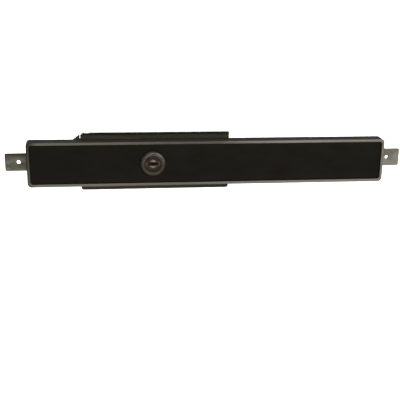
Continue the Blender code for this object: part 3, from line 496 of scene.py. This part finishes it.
def boss_profile(radius, top, hole_radius, hole_depth):
    """Section of a round boss on the cavity's floor with a filleted foot and a blind hole."""
    return rounded([
        (0, CAVITY_FLOOR - RIB_SUNK, 0),
        (radius + BOSS_FOOT, CAVITY_FLOOR - RIB_SUNK, 0),
        (radius + BOSS_FOOT, CAVITY_FLOOR, 0),
        (radius, CAVITY_FLOOR + BOSS_FOOT, RIB_ROUND),
        (radius, top, SMALL_ROUND),
        (hole_radius, top, SMALL_ROUND),
        (hole_radius, top - hole_depth, 0),
        (0, top - hole_depth, 0),
    ], steps=3)


def casing_bosses():
    """Four tall bosses for the fixing screws and two low ones under each guide block, as turned
    sections."""
    fixing = boss_profile(FIXING_BOSS_RADIUS, CASING_BACK, FIXING_HOLE_RADIUS, FIXING_HOLE_DEPTH)
    low = boss_profile(GUIDE_BOSS_RADIUS, CAVITY_FLOOR + GUIDE_BOSS_HEIGHT, SCREW_HOLE_RADIUS,
                       SCREW_HOLE_DEPTH)
    grids = [turned(fixing, (x, z), BOSS_SEGMENTS)
             for x in (-FIXING_X, FIXING_X) for z in (-FIXING_Z, FIXING_Z)]
    grids += [turned(low, (x, z), BOSS_SEGMENTS)
              for x in guide_places() for z in (-GUIDE_SCREW_Z, GUIDE_SCREW_Z)]
    return surface("casing_bosses", grids, wrap_columns=True)


def ejector_marks():
    """Low round pads that the mould's ejector pins leave on the cavity's floor, as turned
    sections."""
    profile = rounded([
        (0, CAVITY_FLOOR - RIB_SUNK, 0),
        (EJECTOR_RADIUS, CAVITY_FLOOR - RIB_SUNK, 0),
        (EJECTOR_RADIUS, CAVITY_FLOOR + EJECTOR_HEIGHT, EJECTOR_HEIGHT / 2),
        (0, CAVITY_FLOOR + EJECTOR_HEIGHT, 0),
    ], steps=2)
    grids = [turned(profile, (x * MM, z * MM), EJECTOR_SEGMENTS) for x, z in EJECTOR_PLACES]
    return surface("ejector_marks", grids, wrap_columns=True)


def inlay_sheet():
    """The face plate: a flat sheet with softly rolled edges, carried round the bar's ring and the
    barrel's hole."""
    inset = RIM_WIDTH + HOLE_GAP
    front, back = FACE_LOW[1], FACE_HIGH[1]
    profile = rounded([
        (inset + FACE_RUN, front, 0),
        (inset, front, SMALL_ROUND),
        (inset, back, SMALL_ROUND / 2),
        (inset + FACE_RUN, back, 0),
    ])
    hole = barrel_ring(HOLE_GAP)
    rings = [(hole, back), (hole, front)]
    rings += [(bar_ring(edge, FACE_CORNER_RADIUS), depth) for edge, depth in profile]
    return surface("inlay_sheet", [ring_grid(rings)], wrap_rows=True, wrap_columns=True)


def barrel_body():
    """The lock barrel's housing: a turned collar with a rolled outer edge and a lip round the plug,
    then a body with a thread, whose radius falls with the fraction of a turn, cut off at two
    flats."""
    collar_back = COLLAR_FRONT + COLLAR_THICKNESS
    front = rounded([
        (HEAD_BORE_RADIUS, HEAD_BORE_BACK, 0),
        (HEAD_BORE_RADIUS, COLLAR_FRONT + COLLAR_DISH, SMALL_ROUND),
        (COLLAR_RADIUS - COLLAR_SLOPE_WIDTH, COLLAR_FRONT, COLLAR_ROUND),
        (COLLAR_RADIUS, COLLAR_FRONT + COLLAR_SLOPE, SMALL_ROUND),
        (COLLAR_RADIUS, collar_back, SMALL_ROUND),
        (BODY_RADIUS, collar_back, 0),
    ])
    turns = (BARREL_BACK - collar_back) / THREAD_PITCH
    down = collar_back + np.linspace(0, 1, int(turns * THREAD_CELLS)) * (BARREL_BACK - collar_back)
    thread = np.stack([np.full(len(down), BODY_RADIUS), down], -1)
    back = np.array([(BORE_RADIUS, BARREL_BACK), (BORE_RADIUS, HEAD_BORE_BACK)])
    grid = turned(np.vstack([front, thread[1:], back]), (BARREL_X, 0), BARREL_SEGMENTS)
    rows = slice(len(front), len(front) + len(thread) - 1)
    angle = np.arctan2(grid[rows, :, 2], grid[rows, :, 0] - BARREL_X)
    phase = (grid[rows, :, 1] - collar_back) / THREAD_PITCH - angle / (2 * np.pi)
    depth = THREAD_DEPTH * np.abs(2 * (phase - np.floor(phase)) - 1)
    shrink = (BODY_RADIUS - depth) / BODY_RADIUS
    grid[rows, :, 0] = BARREL_X + (grid[rows, :, 0] - BARREL_X) * shrink
    grid[rows, :, 2] = np.clip(grid[rows, :, 2] * shrink, -BODY_HALF_FLATS, BODY_HALF_FLATS)
    return surface("barrel_body", [grid], wrap_rows=True, wrap_columns=True)


def softened(node_name, name, width):
    """Copy of a CAD node's mesh, with its doubles merged, its flat parts made whole faces and its
    edges rounded over a width."""
    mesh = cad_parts[node_name].data.copy()
    mesh.name = name
    shape = bmesh.new()
    shape.from_mesh(mesh)
    bmesh.ops.remove_doubles(shape, verts=shape.verts, dist=MERGE_DISTANCE)
    bmesh.ops.dissolve_limit(shape, angle_limit=FLAT_ANGLE, verts=shape.verts, edges=shape.edges)
    shape.to_mesh(mesh)
    shape.free()
    mesh.shade_smooth()
    piece = placed(name, mesh)
    bevel = piece.modifiers.new("rounded edges", "BEVEL")
    bevel.width = width
    bevel.segments = 2
    bevel.limit_method = "ANGLE"
    bevel.angle_limit = ROUNDED_ANGLE
    bevel.harden_normals = True
    return piece


def node(tree, kind, links=None, **settings):
    """Adds a shader node: settings are its properties, links its inputs by name or number, each a
    value or the output that feeds it."""
    made = tree.nodes.new(kind)
    for key, value in settings.items():
        setattr(made, key, value)
    for key, value in (links or {}).items():
        if isinstance(value, bpy.types.NodeSocket):
            tree.links.new(value, made.inputs[key])
        else:
            made.inputs[key].default_value = value
    return made


def finish(name, roughness, metallic, **sockets):
    """New material with its shader's constants set, and the tree to draw its detail in."""
    material = bpy.data.materials.new(name)
    material.use_nodes = True
    tree = material.node_tree
    shader = tree.nodes["Principled BSDF"]
    shader.inputs["Roughness"].default_value = roughness
    shader.inputs["Metallic"].default_value = metallic
    for key, value in sockets.items():
        shader.inputs[key.replace("_", " ")].default_value = value
    return material, tree, shader


def place_on(tree, centre=(0, 0, 0), scale=(1, 1, 1)):
    """Object coordinates in millimetres about a centre, stretched by scale."""
    where = node(tree, "ShaderNodeTexCoord").outputs["Object"]
    centred = node(tree, "ShaderNodeVectorMath", {0: where, 1: tuple(centre)},
                   operation="SUBTRACT").outputs[0]
    stretch = tuple(value / MM for value in scale)
    return node(tree, "ShaderNodeVectorMath", {0: centred, 1: stretch},
                operation="MULTIPLY").outputs[0]


def noise(tree, size, stretch=(1, 1, 1), detail=3.0, roughness=0.5, centre=(0, 0, 0)):
    """Noise whose patches are about size millimetres wide, longer along the axes with a larger
    stretch."""
    scale = tuple(1 / value for value in stretch)
    return node(tree, "ShaderNodeTexNoise", {
        "Vector": place_on(tree, centre, scale), "Scale": 1 / size, "Detail": detail,
        "Roughness": roughness,
    }).outputs["Fac"]


def ramp(tree, value, low, high, to_low=0.0, to_high=1.0):
    """Straight, clamped step of a value from one range to another."""
    return node(tree, "ShaderNodeMapRange", {
        "Value": value, "From Min": low, "From Max": high, "To Min": to_low, "To Max": to_high,
    }).outputs["Result"]


def times(tree, first, second, operation="MULTIPLY"):
    """Product of two values, or another operation on them."""
    return node(tree, "ShaderNodeMath", {0: first, 1: second}, operation=operation).outputs[0]


def magnitude(tree, value):
    """A value without its sign."""
    return node(tree, "ShaderNodeMath", {0: value}, operation="ABSOLUTE").outputs[0]


def blend(tree, share, first, second):
    """Colour between two colours or colour outputs by a share."""
    made = node(tree, "ShaderNodeMix", {0: share}, data_type="RGBA")
    for socket, value in ((made.inputs[6], first), (made.inputs[7], second)):
        if isinstance(value, bpy.types.NodeSocket):
            tree.links.new(value, socket)
        else:
            socket.default_value = (*value, 1)
    return made.outputs[2]


def axis(tree, letter, centre=(0, 0, 0)):
    """One coordinate of the place on the object, in millimetres."""
    return node(tree, "ShaderNodeSeparateXYZ", {0: place_on(tree, centre)}).outputs[letter]


def feed(tree, shader, **outputs):
    """Links outputs to the shader's sockets by name."""
    for key, value in outputs.items():
        tree.links.new(value, shader.inputs[key.replace("_", " ")])


def bump(tree, shader, height, strength, distance):
    """Relief of a height from 0 to 1 over a distance in millimetres."""
    made = node(tree, "ShaderNodeBump", {
        "Height": height, "Strength": strength, "Distance": distance * MM,
    })
    tree.links.new(made.outputs[0], shader.inputs["Normal"])


def colours(tree, value, stops):
    """Colour of a value from 0 to 1 through (place, colour) stops, with straight blends between
    them."""
    made = node(tree, "ShaderNodeValToRGB", {0: value})
    marks = made.color_ramp.elements
    while len(marks) < len(stops):
        marks.new(0.5)
    for mark, (place, colour) in zip(marks, stops):
        mark.position = place
        mark.color = (*colour, 1)
    return made.outputs["Color"]


def edge_nearness(tree, low, high, reach):
    """1 on the edges of a box seen along Y and 0 from reach millimetres inside them, with the
    border broken up by noise."""
    nearest = None
    for letter, index in (("X", 0), ("Z", 2)):
        place = axis(tree, letter)
        for side, bound in ((1, low[index]), (-1, high[index])):
            gap = times(tree, times(tree, place, bound / MM, "SUBTRACT"), side)
            nearest = gap if nearest is None else times(tree, nearest, gap, "MINIMUM")
    ragged = times(tree, noise(tree, size=0.9, detail=5.0, roughness=0.65), 1.6 * reach)
    return ramp(tree, times(tree, nearest, ragged, "SUBTRACT"), 0.35 * reach, -0.65 * reach)


def barrel_radius(tree):
    """Distance from the barrel's axis, in millimetres."""
    where = place_on(tree, (BARREL_X, 0, 0))
    flat = node(tree, "ShaderNodeVectorMath", {0: where, 1: (1, 0, 1)},
                operation="MULTIPLY").outputs[0]
    return node(tree, "ShaderNodeVectorMath", {0: flat}, operation="LENGTH").outputs["Value"]


def turning_marks(tree, pitch, detail=3.0):
    """Fine turned rings about the barrel's axis, pitch millimetres apart."""
    return node(tree, "ShaderNodeTexNoise", {
        "W": barrel_radius(tree), "Scale": 1 / pitch, "Detail": detail,
    }, noise_dimensions="1D").outputs["Fac"]


def casting_paint():
    """Black paint over a casting: fine orange peel, scuffs, painted light on the upper side before
    the lock plate, painted shade on the upper side towards its back, and a rim rubbed back to grey
    metal with painted highlight along it, most at its right, and painted shade at its left end and
    middle."""
    material, tree, shader = finish("casting paint", roughness=0.5, metallic=0.0)
    depth = axis(tree, "Y")
    level = axis(tree, "Z")
    patches = noise(tree, size=6.0, stretch=(3, 1, 1))
    fine = noise(tree, size=0.5, stretch=(6, 1, 1), detail=5.0)
    specks = noise(tree, size=1.1, stretch=(5, 1, 1), detail=6.0, roughness=0.7)
    scuffs = ramp(tree, specks, 0.66, 0.74)
    scuffed = blend(tree, times(tree, scuffs, 0.5), blend(tree, patches, *PAINT), PAINT_SCUFF)
    # Painted shade: the upper side darker towards its back
    back_shade = times(tree, ramp(tree, depth, *BACK_SHADE_DEPTH, to_high=0.75),
                   ramp(tree, level, *BACK_SHADE_LEVEL))
    # Painted light: the upper side before the lock plate lightened against the plate's shade
    beside_plate = magnitude(tree, axis(tree, "X", PLATE_MIDDLE))
    lit_shelf = times(tree, ramp(tree, beside_plate, *LIT_SHELF_SPAN),
                      ramp(tree, depth, *LIT_SHELF_DEPTH))
    pale_layer = times(tree, times(tree, lit_shelf, ramp(tree, level, *LIT_SHELF_LEVEL)),
                 ramp(tree, patches, 0.2, 0.5, 0.6, 1.0))
    with_painted_light = blend(tree, pale_layer, blend(tree, back_shade, scuffed, PAINT_BACK_SHADE), SHELF_PAINTED_LIGHT)
    # The rim's colours along the bar are rubbed metal with painted highlight and painted shade, set
    # apart for the upper and the lower rim
    along = ramp(tree, axis(tree, "X"), *BAR_REACH)
    metal = blend(tree, ramp(tree, level, *UPPER_TO_LOWER), colours(tree, along, RIM_UPPER),
                  colours(tree, along, RIM_LOWER))
    rubbed = blend(tree, times(tree, fine, 0.35), metal, RIM_GRAIN)
    worn = times(tree, ramp(tree, depth, *RUBBED_DEPTH), ramp(tree, fine, 0.25, 0.5, 0.8, 1.0))
    feed(tree, shader, Base_Color=blend(tree, worn, with_painted_light, rubbed))
    feed(tree, shader, Metallic=times(tree, worn, 0.35))
    feed(tree, shader, Roughness=ramp(tree, patches, 0.3, 0.7, 0.42, 0.56))
    feed(tree, shader, Specular_IOR_Level=times(
        tree, ramp(tree, worn, 0.0, 1.0, 0.5, 0.4), ramp(tree, back_shade, 0.0, 1.0, 1.0, 0.4)))
    peel = noise(tree, size=0.7, detail=2.0)
    relief = times(tree, peel, times(tree, scuffs, 0.3), "SUBTRACT")
    bump(tree, shader, relief, strength=0.35, distance=0.04)
    return material


def inlay_black():
    """Smooth black sheet: hairline scratches along the bar, faint smudges, dust, a brown cast low
    down, a green one high up and a lighter left end."""
    material, tree, shader = finish("inlay black", roughness=0.34, metallic=0.0,
                                    Specular_IOR_Level=0.12)
    scratches = noise(tree, size=0.16, stretch=(60, 1, 1), detail=4.0, roughness=0.7)
    smudges = noise(tree, size=9.0, stretch=(2, 1, 1), detail=4.0)
    pale_layer = ramp(tree, noise(tree, size=0.35, detail=2.0), 0.74, 0.80)
    level = axis(tree, "Z")
    black, brown, green = (blend(tree, smudges, *pair) for pair in (INLAY, INLAY_FOOT, INLAY_HEAD))
    footed = blend(tree, ramp(tree, level, *FACE_FOOT), black, brown)
    headed = blend(tree, ramp(tree, level, *FACE_HEAD), footed, green)
    left = ramp(tree, axis(tree, "X"), *FACE_LEFT)
    lifted = blend(tree, times(tree, left, 0.5), headed, INLAY_LEFT)
    feed(tree, shader, Base_Color=blend(tree, times(tree, pale_layer, 0.25), lifted, INLAY_DUST))
    feed(tree, shader, Roughness=ramp(tree, times(tree, scratches, smudges, "ADD"),
                                      0.7, 1.3, 0.31, 0.43))
    bump(tree, shader, scratches, strength=0.12, distance=0.01)
    return material


def plate_paint():
    """Thin dark paint on sheet steel: rolling lines, a cast that wanders from brown to green along
    the plate, painted light low down above the bar, painted shade near the edges and over the top,
    and edges chipped to the metal."""
    material, tree, shader = finish("plate paint", roughness=0.52, metallic=0.0,
                                    Specular_IOR_Level=0.2)
    lines = noise(tree, size=0.5, stretch=(40, 1, 1), detail=3.0)
    mottle = noise(tree, size=8.0, stretch=(2, 1, 1), detail=4.0)
    wandering = times(tree, axis(tree, "X"), times(tree, mottle, 24.0), "ADD")
    cast = colours(tree, ramp(tree, wandering, *PLATE_SPAN), PLATE_CAST)
    painted = blend(tree, mottle, blend(tree, 0.3, cast, PLATE_SHADE), cast)
    level = axis(tree, "Z")
    # Painted light: the plate lightened low down, towards the bar
    with_painted_light = blend(tree, ramp(tree, level, *PLATE_FOOT, to_high=0.45), painted, PLATE_FOOT_LIGHT)
    # Painted shade: the plate darker along its edges and over its top
    darkening = times(tree, edge_nearness(tree, PLATE_LOW, PLATE_HIGH, reach=1.5), 0.5)
    darkening = times(tree, darkening, ramp(tree, level, *PLATE_HEAD, to_high=0.8), "MAXIMUM")
    darkened = blend(tree, darkening, with_painted_light, PLATE_EDGE_SHADE)
    chips = times(tree, edge_nearness(tree, PLATE_LOW, PLATE_HIGH, reach=0.5),
                  ramp(tree, noise(tree, size=2.5, detail=3.0), 0.48, 0.6))
    feed(tree, shader, Base_Color=blend(tree, chips, darkened, PLATE_CHIP))
    feed(tree, shader, Metallic=times(tree, chips, 0.8))
    feed(tree, shader, Roughness=ramp(tree, lines, 0.3, 0.7, 0.46, 0.62))
    feed(tree, shader, Specular_IOR_Level=ramp(tree, darkening, 0.0, 1.0, 0.2, 0.04))
    bump(tree, shader, times(tree, lines, chips, "SUBTRACT"), strength=0.2, distance=0.02)
    return material


def housing_nickel():
    """Dull nickel of the collar: turning marks, brown tarnish in patches, a rubbed outer edge and
    an upper half lightened as painted highlight."""
    material, tree, shader = finish("housing nickel", roughness=0.38, metallic=0.85)
    marks = turning_marks(tree, pitch=0.12)
    patches = noise(tree, size=2.2, detail=4.0, centre=(BARREL_X, 0, 0))
    rubbed = ramp(tree, barrel_radius(tree), *COLLAR_EDGE)
    nickel = blend(tree, rubbed, blend(tree, marks, *COLLAR_DULL),
                   blend(tree, marks, *COLLAR_BRIGHT))
    # Painted highlight: the collar's upper half lighter
    upper = ramp(tree, axis(tree, "Z"), *COLLAR_HEAD, to_high=0.5)
    highlighted = blend(tree, upper, nickel, COLLAR_UPPER_HIGHLIGHT)
    tarnished = blend(tree, ramp(tree, patches, 0.4, 0.7), highlighted, COLLAR_TARNISH)
    feed(tree, shader, Base_Color=tarnished)
    feed(tree, shader, Roughness=ramp(tree, patches, 0.3, 0.7, 0.32, 0.5))
    bump(tree, shader, marks, strength=0.35, distance=0.015)
    return material


def plug_nickel():
    """Nickel of the plug: dark brown with age and darkened beside the keyway as painted shade, but
    rubbed bright on the boss round it."""
    material, tree, shader = finish("plug nickel", roughness=0.4, metallic=0.8)
    marks = turning_marks(tree, pitch=0.15)
    patches = noise(tree, size=1.3, detail=5.0, centre=(BARREL_X, 0, 0))
    ragged = times(tree, barrel_radius(tree), times(tree, patches, 0.7), "ADD")
    boss = ramp(tree, ragged, *BOSS_EDGE)
    aged = blend(tree, patches, *PLUG_AGED)
    rubbed = blend(tree, marks, *PLUG_RUBBED)
    # Painted shade: the boss darker beside the keyway
    beside = times(tree, magnitude(tree, axis(tree, "Z")), times(tree, patches, 0.5), "ADD")
    darkening = ramp(tree, beside, *KEYWAY_EDGE)
    worn = blend(tree, darkening, blend(tree, boss, aged, rubbed), KEYWAY_SHADE)
    feed(tree, shader, Base_Color=worn)
    feed(tree, shader, Roughness=ramp(tree, boss, 0.0, 1.0, 0.5, 0.34))
    bump(tree, shader, times(tree, marks, patches, "ADD"), strength=0.3, distance=0.02)
    return material


def olive_zinc(node_name, cast, near_bar_light):
    """Dull zinc plating with a cast of its own: scratches along the bar from the strip's travel,
    clouds of the cast, a colour of painted light next to the bar where the bar's end shades the
    strip, a brown upper side, darker bands along the edges, and the very edges rubbed bright."""
    low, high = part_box(node_name)
    material, tree, shader = finish("olive zinc " + node_name, roughness=0.5, metallic=0.6)
    scratches = noise(tree, size=0.2, stretch=(50, 1, 1), detail=4.0, roughness=0.7)
    clouds = noise(tree, size=3.0, stretch=(1.6, 1, 1), detail=5.0, roughness=0.6)
    cloudy = blend(tree, ramp(tree, clouds, 0.40, 0.60), blend(tree, scratches, *ZINC), cast)
    from_middle = magnitude(tree, axis(tree, "X"))
    # Painted light next to the bar, where the bar's end shades the strip
    near_bar_lit = blend(tree, ramp(tree, from_middle, *NEAR_BAR_SPAN, to_high=0.7), cloudy, near_bar_light)
    brown = blend(tree, ramp(tree, axis(tree, "Z"), *TONGUE_HEAD), near_bar_lit, ZINC_BROWN)
    # The strip darker along its edges
    darkening = times(tree, edge_nearness(tree, low, high, reach=1.1), 0.6)
    darkened = blend(tree, darkening, brown, ZINC_EDGE_DARK)
    rubbed = times(tree, edge_nearness(tree, low, high, reach=0.25), 0.4)
    feed(tree, shader, Base_Color=blend(tree, rubbed, darkened, ZINC_EDGE))
    feed(tree, shader, Roughness=ramp(tree, clouds, 0.3, 0.7, 0.42, 0.6))
    bump(tree, shader, scratches, strength=0.25, distance=0.015)
    return material


def disc_zinc():
    """Zinc plating of the turning disc: rings scored by the forks that slide over it, and cloudy
    patches."""
    material, tree, shader = finish("disc zinc", roughness=0.45, metallic=0.7)
    marks = turning_marks(tree, pitch=0.25, detail=5.0)
    clouds = noise(tree, size=2.5, detail=5.0, centre=(BARREL_X, 0, 0))
    scored = times(tree, ramp(tree, marks, 0.52, 0.62), 0.5)
    feed(tree, shader, Base_Color=blend(tree, scored, blend(tree, clouds, *DISC_ZINC), DISC_SCORED))
    feed(tree, shader, Roughness=ramp(tree, clouds, 0.3, 0.7, 0.36, 0.55))
    bump(tree, shader, marks, strength=0.35, distance=0.02)
    return material


def plated_steel():
    """Bright plated steel of the small hardware, with fine grinding lines and dull spots."""
    material, tree, shader = finish("plated steel", roughness=0.34, metallic=1.0)
    spots = noise(tree, size=1.2, detail=5.0)
    lines = noise(tree, size=0.15, stretch=(8, 1, 1), detail=3.0)
    feed(tree, shader, Base_Color=blend(tree, spots, *STEEL))
    feed(tree, shader, Roughness=ramp(tree, spots, 0.3, 0.7, 0.26, 0.44))
    bump(tree, shader, lines, strength=0.15, distance=0.01)
    return material


def wafer_brass():
    """Stamped brass with a grain across the sheet, darkened in the keyway's window as painted
    shade.
    """
    material, tree, shader = finish("stamped brass", roughness=0.36, metallic=1.0)
    grain = noise(tree, size=0.12, stretch=(1, 1, 10), detail=3.0)
    tarnish = noise(tree, size=1.5, detail=4.0)
    # Painted shade: the brass darker inside the plug, seen through the keyway
    window = ramp(tree, barrel_radius(tree), *WINDOW_EDGE)
    feed(tree, shader, Base_Color=blend(tree, window, blend(tree, tarnish, *BRASS), BRASS_KEYWAY_SHADE))
    feed(tree, shader, Roughness=ramp(tree, grain, 0.3, 0.7, 0.28, 0.45))
    bump(tree, shader, grain, strength=0.2, distance=0.01)
    return material


def natural_nylon():
    """Milky moulded nylon with a faint flow pattern, grease smears and tool marks across the
    block."""
    material, tree, shader = finish("natural nylon", roughness=0.5, metallic=0.0,
                                    Subsurface_Weight=0.15, Subsurface_Scale=1.5 * MM)
    flow = noise(tree, size=2.5, stretch=(1, 2, 1), detail=3.0)
    tool = noise(tree, size=0.2, stretch=(1, 1, 12), detail=2.0)
    grease = ramp(tree, noise(tree, size=1.4, detail=5.0), 0.56, 0.72)
    feed(tree, shader, Base_Color=blend(tree, grease, blend(tree, flow, *NYLON), NYLON_GREASE))
    feed(tree, shader, Roughness=ramp(tree, grease, 0.0, 1.0, 0.52, 0.32))
    bump(tree, shader, times(tree, flow, tool, "ADD"), strength=0.15, distance=0.02)
    return material


def backdrop_white(name, glow):
    """Plain pale studio surface with a little glow of its own."""
    material, _, shader = finish(name, roughness=0.9, metallic=0.0)
    shader.inputs["Base Color"].default_value = (*STUDIO_WHITE, 1)
    shader.inputs["Emission Color"].default_value = (*STUDIO_WHITE, 1)
    shader.inputs["Emission Strength"].default_value = glow
    return material


def paint_piece(piece, material, slot_name, body, *nodes):
    """Gives a new piece its material, lets it ride on its body and stand for CAD nodes; the slot
    name is not used.
    """
    piece.data.materials.clear()
    piece.data.materials.append(material)
    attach(piece, body)
    if nodes:
        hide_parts(*nodes)


def dress_node(node_name, name, width, material, slot_name, body):
    """Puts a CAD node's softened and painted copy, under a name of its own, in the node's place."""
    paint_piece(softened(node_name, name, width), material, slot_name, body, node_name)


def repaint(material, *nodes):
    """Gives CAD nodes that stay as they are their finished material."""
    for name in nodes:
        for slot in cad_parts[name].material_slots:
            slot.material = material


def dress_handle():
    """Makes every finished piece and paints the CAD nodes that stay in view."""
    paint = casting_paint()
    steel = plated_steel()
    nylon = natural_nylon()
    for piece in (casing_shell(), casing_ribs(), casing_bosses(), ejector_marks()):
        paint_piece(piece, paint, "black_paint", "handle", "casing")
    paint_piece(inlay_sheet(), inlay_black(), "black_inlay", "handle", "face_plate")
    dress_node("lock_plate", "door_plate", SHEET_EDGE, plate_paint(), "dark_plate", "handle")
    paint_piece(barrel_body(), housing_nickel(), "dull_nickel", "handle", "barrel_housing")
    dress_node("barrel_nut", "thin_nut", NUT_EDGE, steel, "plain_steel", "handle")
    dress_node("barrel_plug", "key_plug", PLUG_EDGE, plug_nickel(), "dull_nickel", "plug")
    dress_node("drive_disc", "turning_disc", DISC_EDGE, disc_zinc(), "zinc_plate", "plug")
    for side, cast, near_bar_light in (("left", OLIVE_CAST, OLIVE_NEAR_BAR_LIGHT),
                                ("right", GREY_CAST, GREY_CAST)):
        tongue, keeper, slider = side + "_tongue", side + "_keeper", side + "_slider"
        dress_node(tongue, side + "_strip", STRIP_EDGE, olive_zinc(tongue, cast, near_bar_light),
                   "zinc_plate", slider)
        dress_node(keeper, side + "_strap", STRIP_EDGE, olive_zinc(keeper, cast, near_bar_light),
                   "zinc_plate", "handle")
        for place in ("inner", "outer"):
            dress_node(f"{side}_{place}_guide", f"{side}_{place}_channel", GUIDE_EDGE, nylon,
                       "guide_nylon", "handle")
    for number in (1, 2, 3, 4):
        for kind in ("plate", "keeper"):
            dress_node(f"{kind}_screw_{number}", f"{kind}_fastener_{number}", SCREW_EDGE, steel,
                       "plain_steel", "handle")
    repaint(wafer_brass(), "wafer_1", "wafer_2", "wafer_3", "wafer_4")
    repaint(steel, "left_drive_pin", "right_drive_pin", "disc_washer", "disc_screw")


def pale_floor():
    """Square sheet under the handle, FLOOR_REACH to each side."""
    mesh = bpy.data.meshes.new("studio_floor")
    corners = [(x * FLOOR_REACH, y * FLOOR_REACH, FLOOR_LEVEL)
               for x, y in ((-1, -1), (1, -1), (1, 1), (-1, 1))]
    mesh.from_pydata(corners, [], [(0, 1, 2, 3)])
    return placed("studio_floor", mesh)


def white_dome():
    """Sphere round the whole studio: the point at polar angle p and azimuth a is the radius times
    (sin p cos a, sin p sin a, cos p)."""
    levels, segments = DOME_CELLS
    polar = np.linspace(0, np.pi, levels + 1)[:, None]
    around = np.linspace(0, 2 * np.pi, segments, endpoint=False)
    x = DOME_RADIUS * np.sin(polar) * np.cos(around)
    y = DOME_RADIUS * np.sin(polar) * np.sin(around)
    z = DOME_RADIUS * np.cos(polar) * np.ones_like(around)
    return surface("studio_dome", [np.stack([x, y, z], -1)], wrap_columns=True)


def area_light(name, place, target, size, watts, colour):
    """Soft oblong light at a place, turned to a target."""
    lamp = bpy.data.lights.new(name, "AREA")
    lamp.shape = "RECTANGLE"
    lamp.size, lamp.size_y = size
    lamp.energy = watts
    lamp.color = colour
    light = placed(name, lamp)
    light.location = place
    towards = Vector(target) - Vector(place)
    light.rotation_euler = towards.to_track_quat("-Z", "Y").to_euler()
    light.visible_camera = False


def set_camera():
    """Camera at the photograph's place: forward, right and up follow from yaw, pitch and roll."""
    forward = Vector((sin(CAMERA_YAW) * cos(CAMERA_PITCH), cos(CAMERA_YAW) * cos(CAMERA_PITCH),
                      -sin(CAMERA_PITCH)))
    level = Vector((cos(CAMERA_YAW), -sin(CAMERA_YAW), 0))
    upright = level.cross(forward)
    right = cos(CAMERA_ROLL) * level + sin(CAMERA_ROLL) * upright
    up = -sin(CAMERA_ROLL) * level + cos(CAMERA_ROLL) * upright
    data = bpy.data.cameras.new("camera")
    data.lens = CAMERA_LENS
    data.sensor_width = CAMERA_SENSOR
    data.clip_start, data.clip_end = CAMERA_CLIP
    camera = placed("camera", data)
    rotation = Matrix((right, up, -forward)).transposed()
    camera.matrix_world = Matrix.Translation(CAMERA_PLACE) @ rotation.to_4x4()
    bpy.context.scene.camera = camera


def set_studio():
    """White surroundings that only the camera sees, a pale floor, and soft lights before and behind
    the handle."""
    scene = bpy.context.scene
    scene.view_settings.view_transform = "Standard"
    world = bpy.data.worlds.new("studio")
    world.use_nodes = True
    background = world.node_tree.nodes["Background"]
    background.inputs["Color"].default_value = SURROUNDINGS
    background.inputs["Strength"].default_value = SURROUNDINGS_STRENGTH
    scene.world = world
    for item, material in ((white_dome(), backdrop_white("dome white", DOME_GLOW)),
                           (pale_floor(), backdrop_white("floor white", FLOOR_GLOW))):
        item.data.materials.append(material)
        item.visible_diffuse = False
        item.visible_glossy = False
        item.visible_transmission = False
        item.visible_shadow = False
    for light in LIGHTS:
        area_light(*light)


dress_handle()
set_studio()
set_camera()
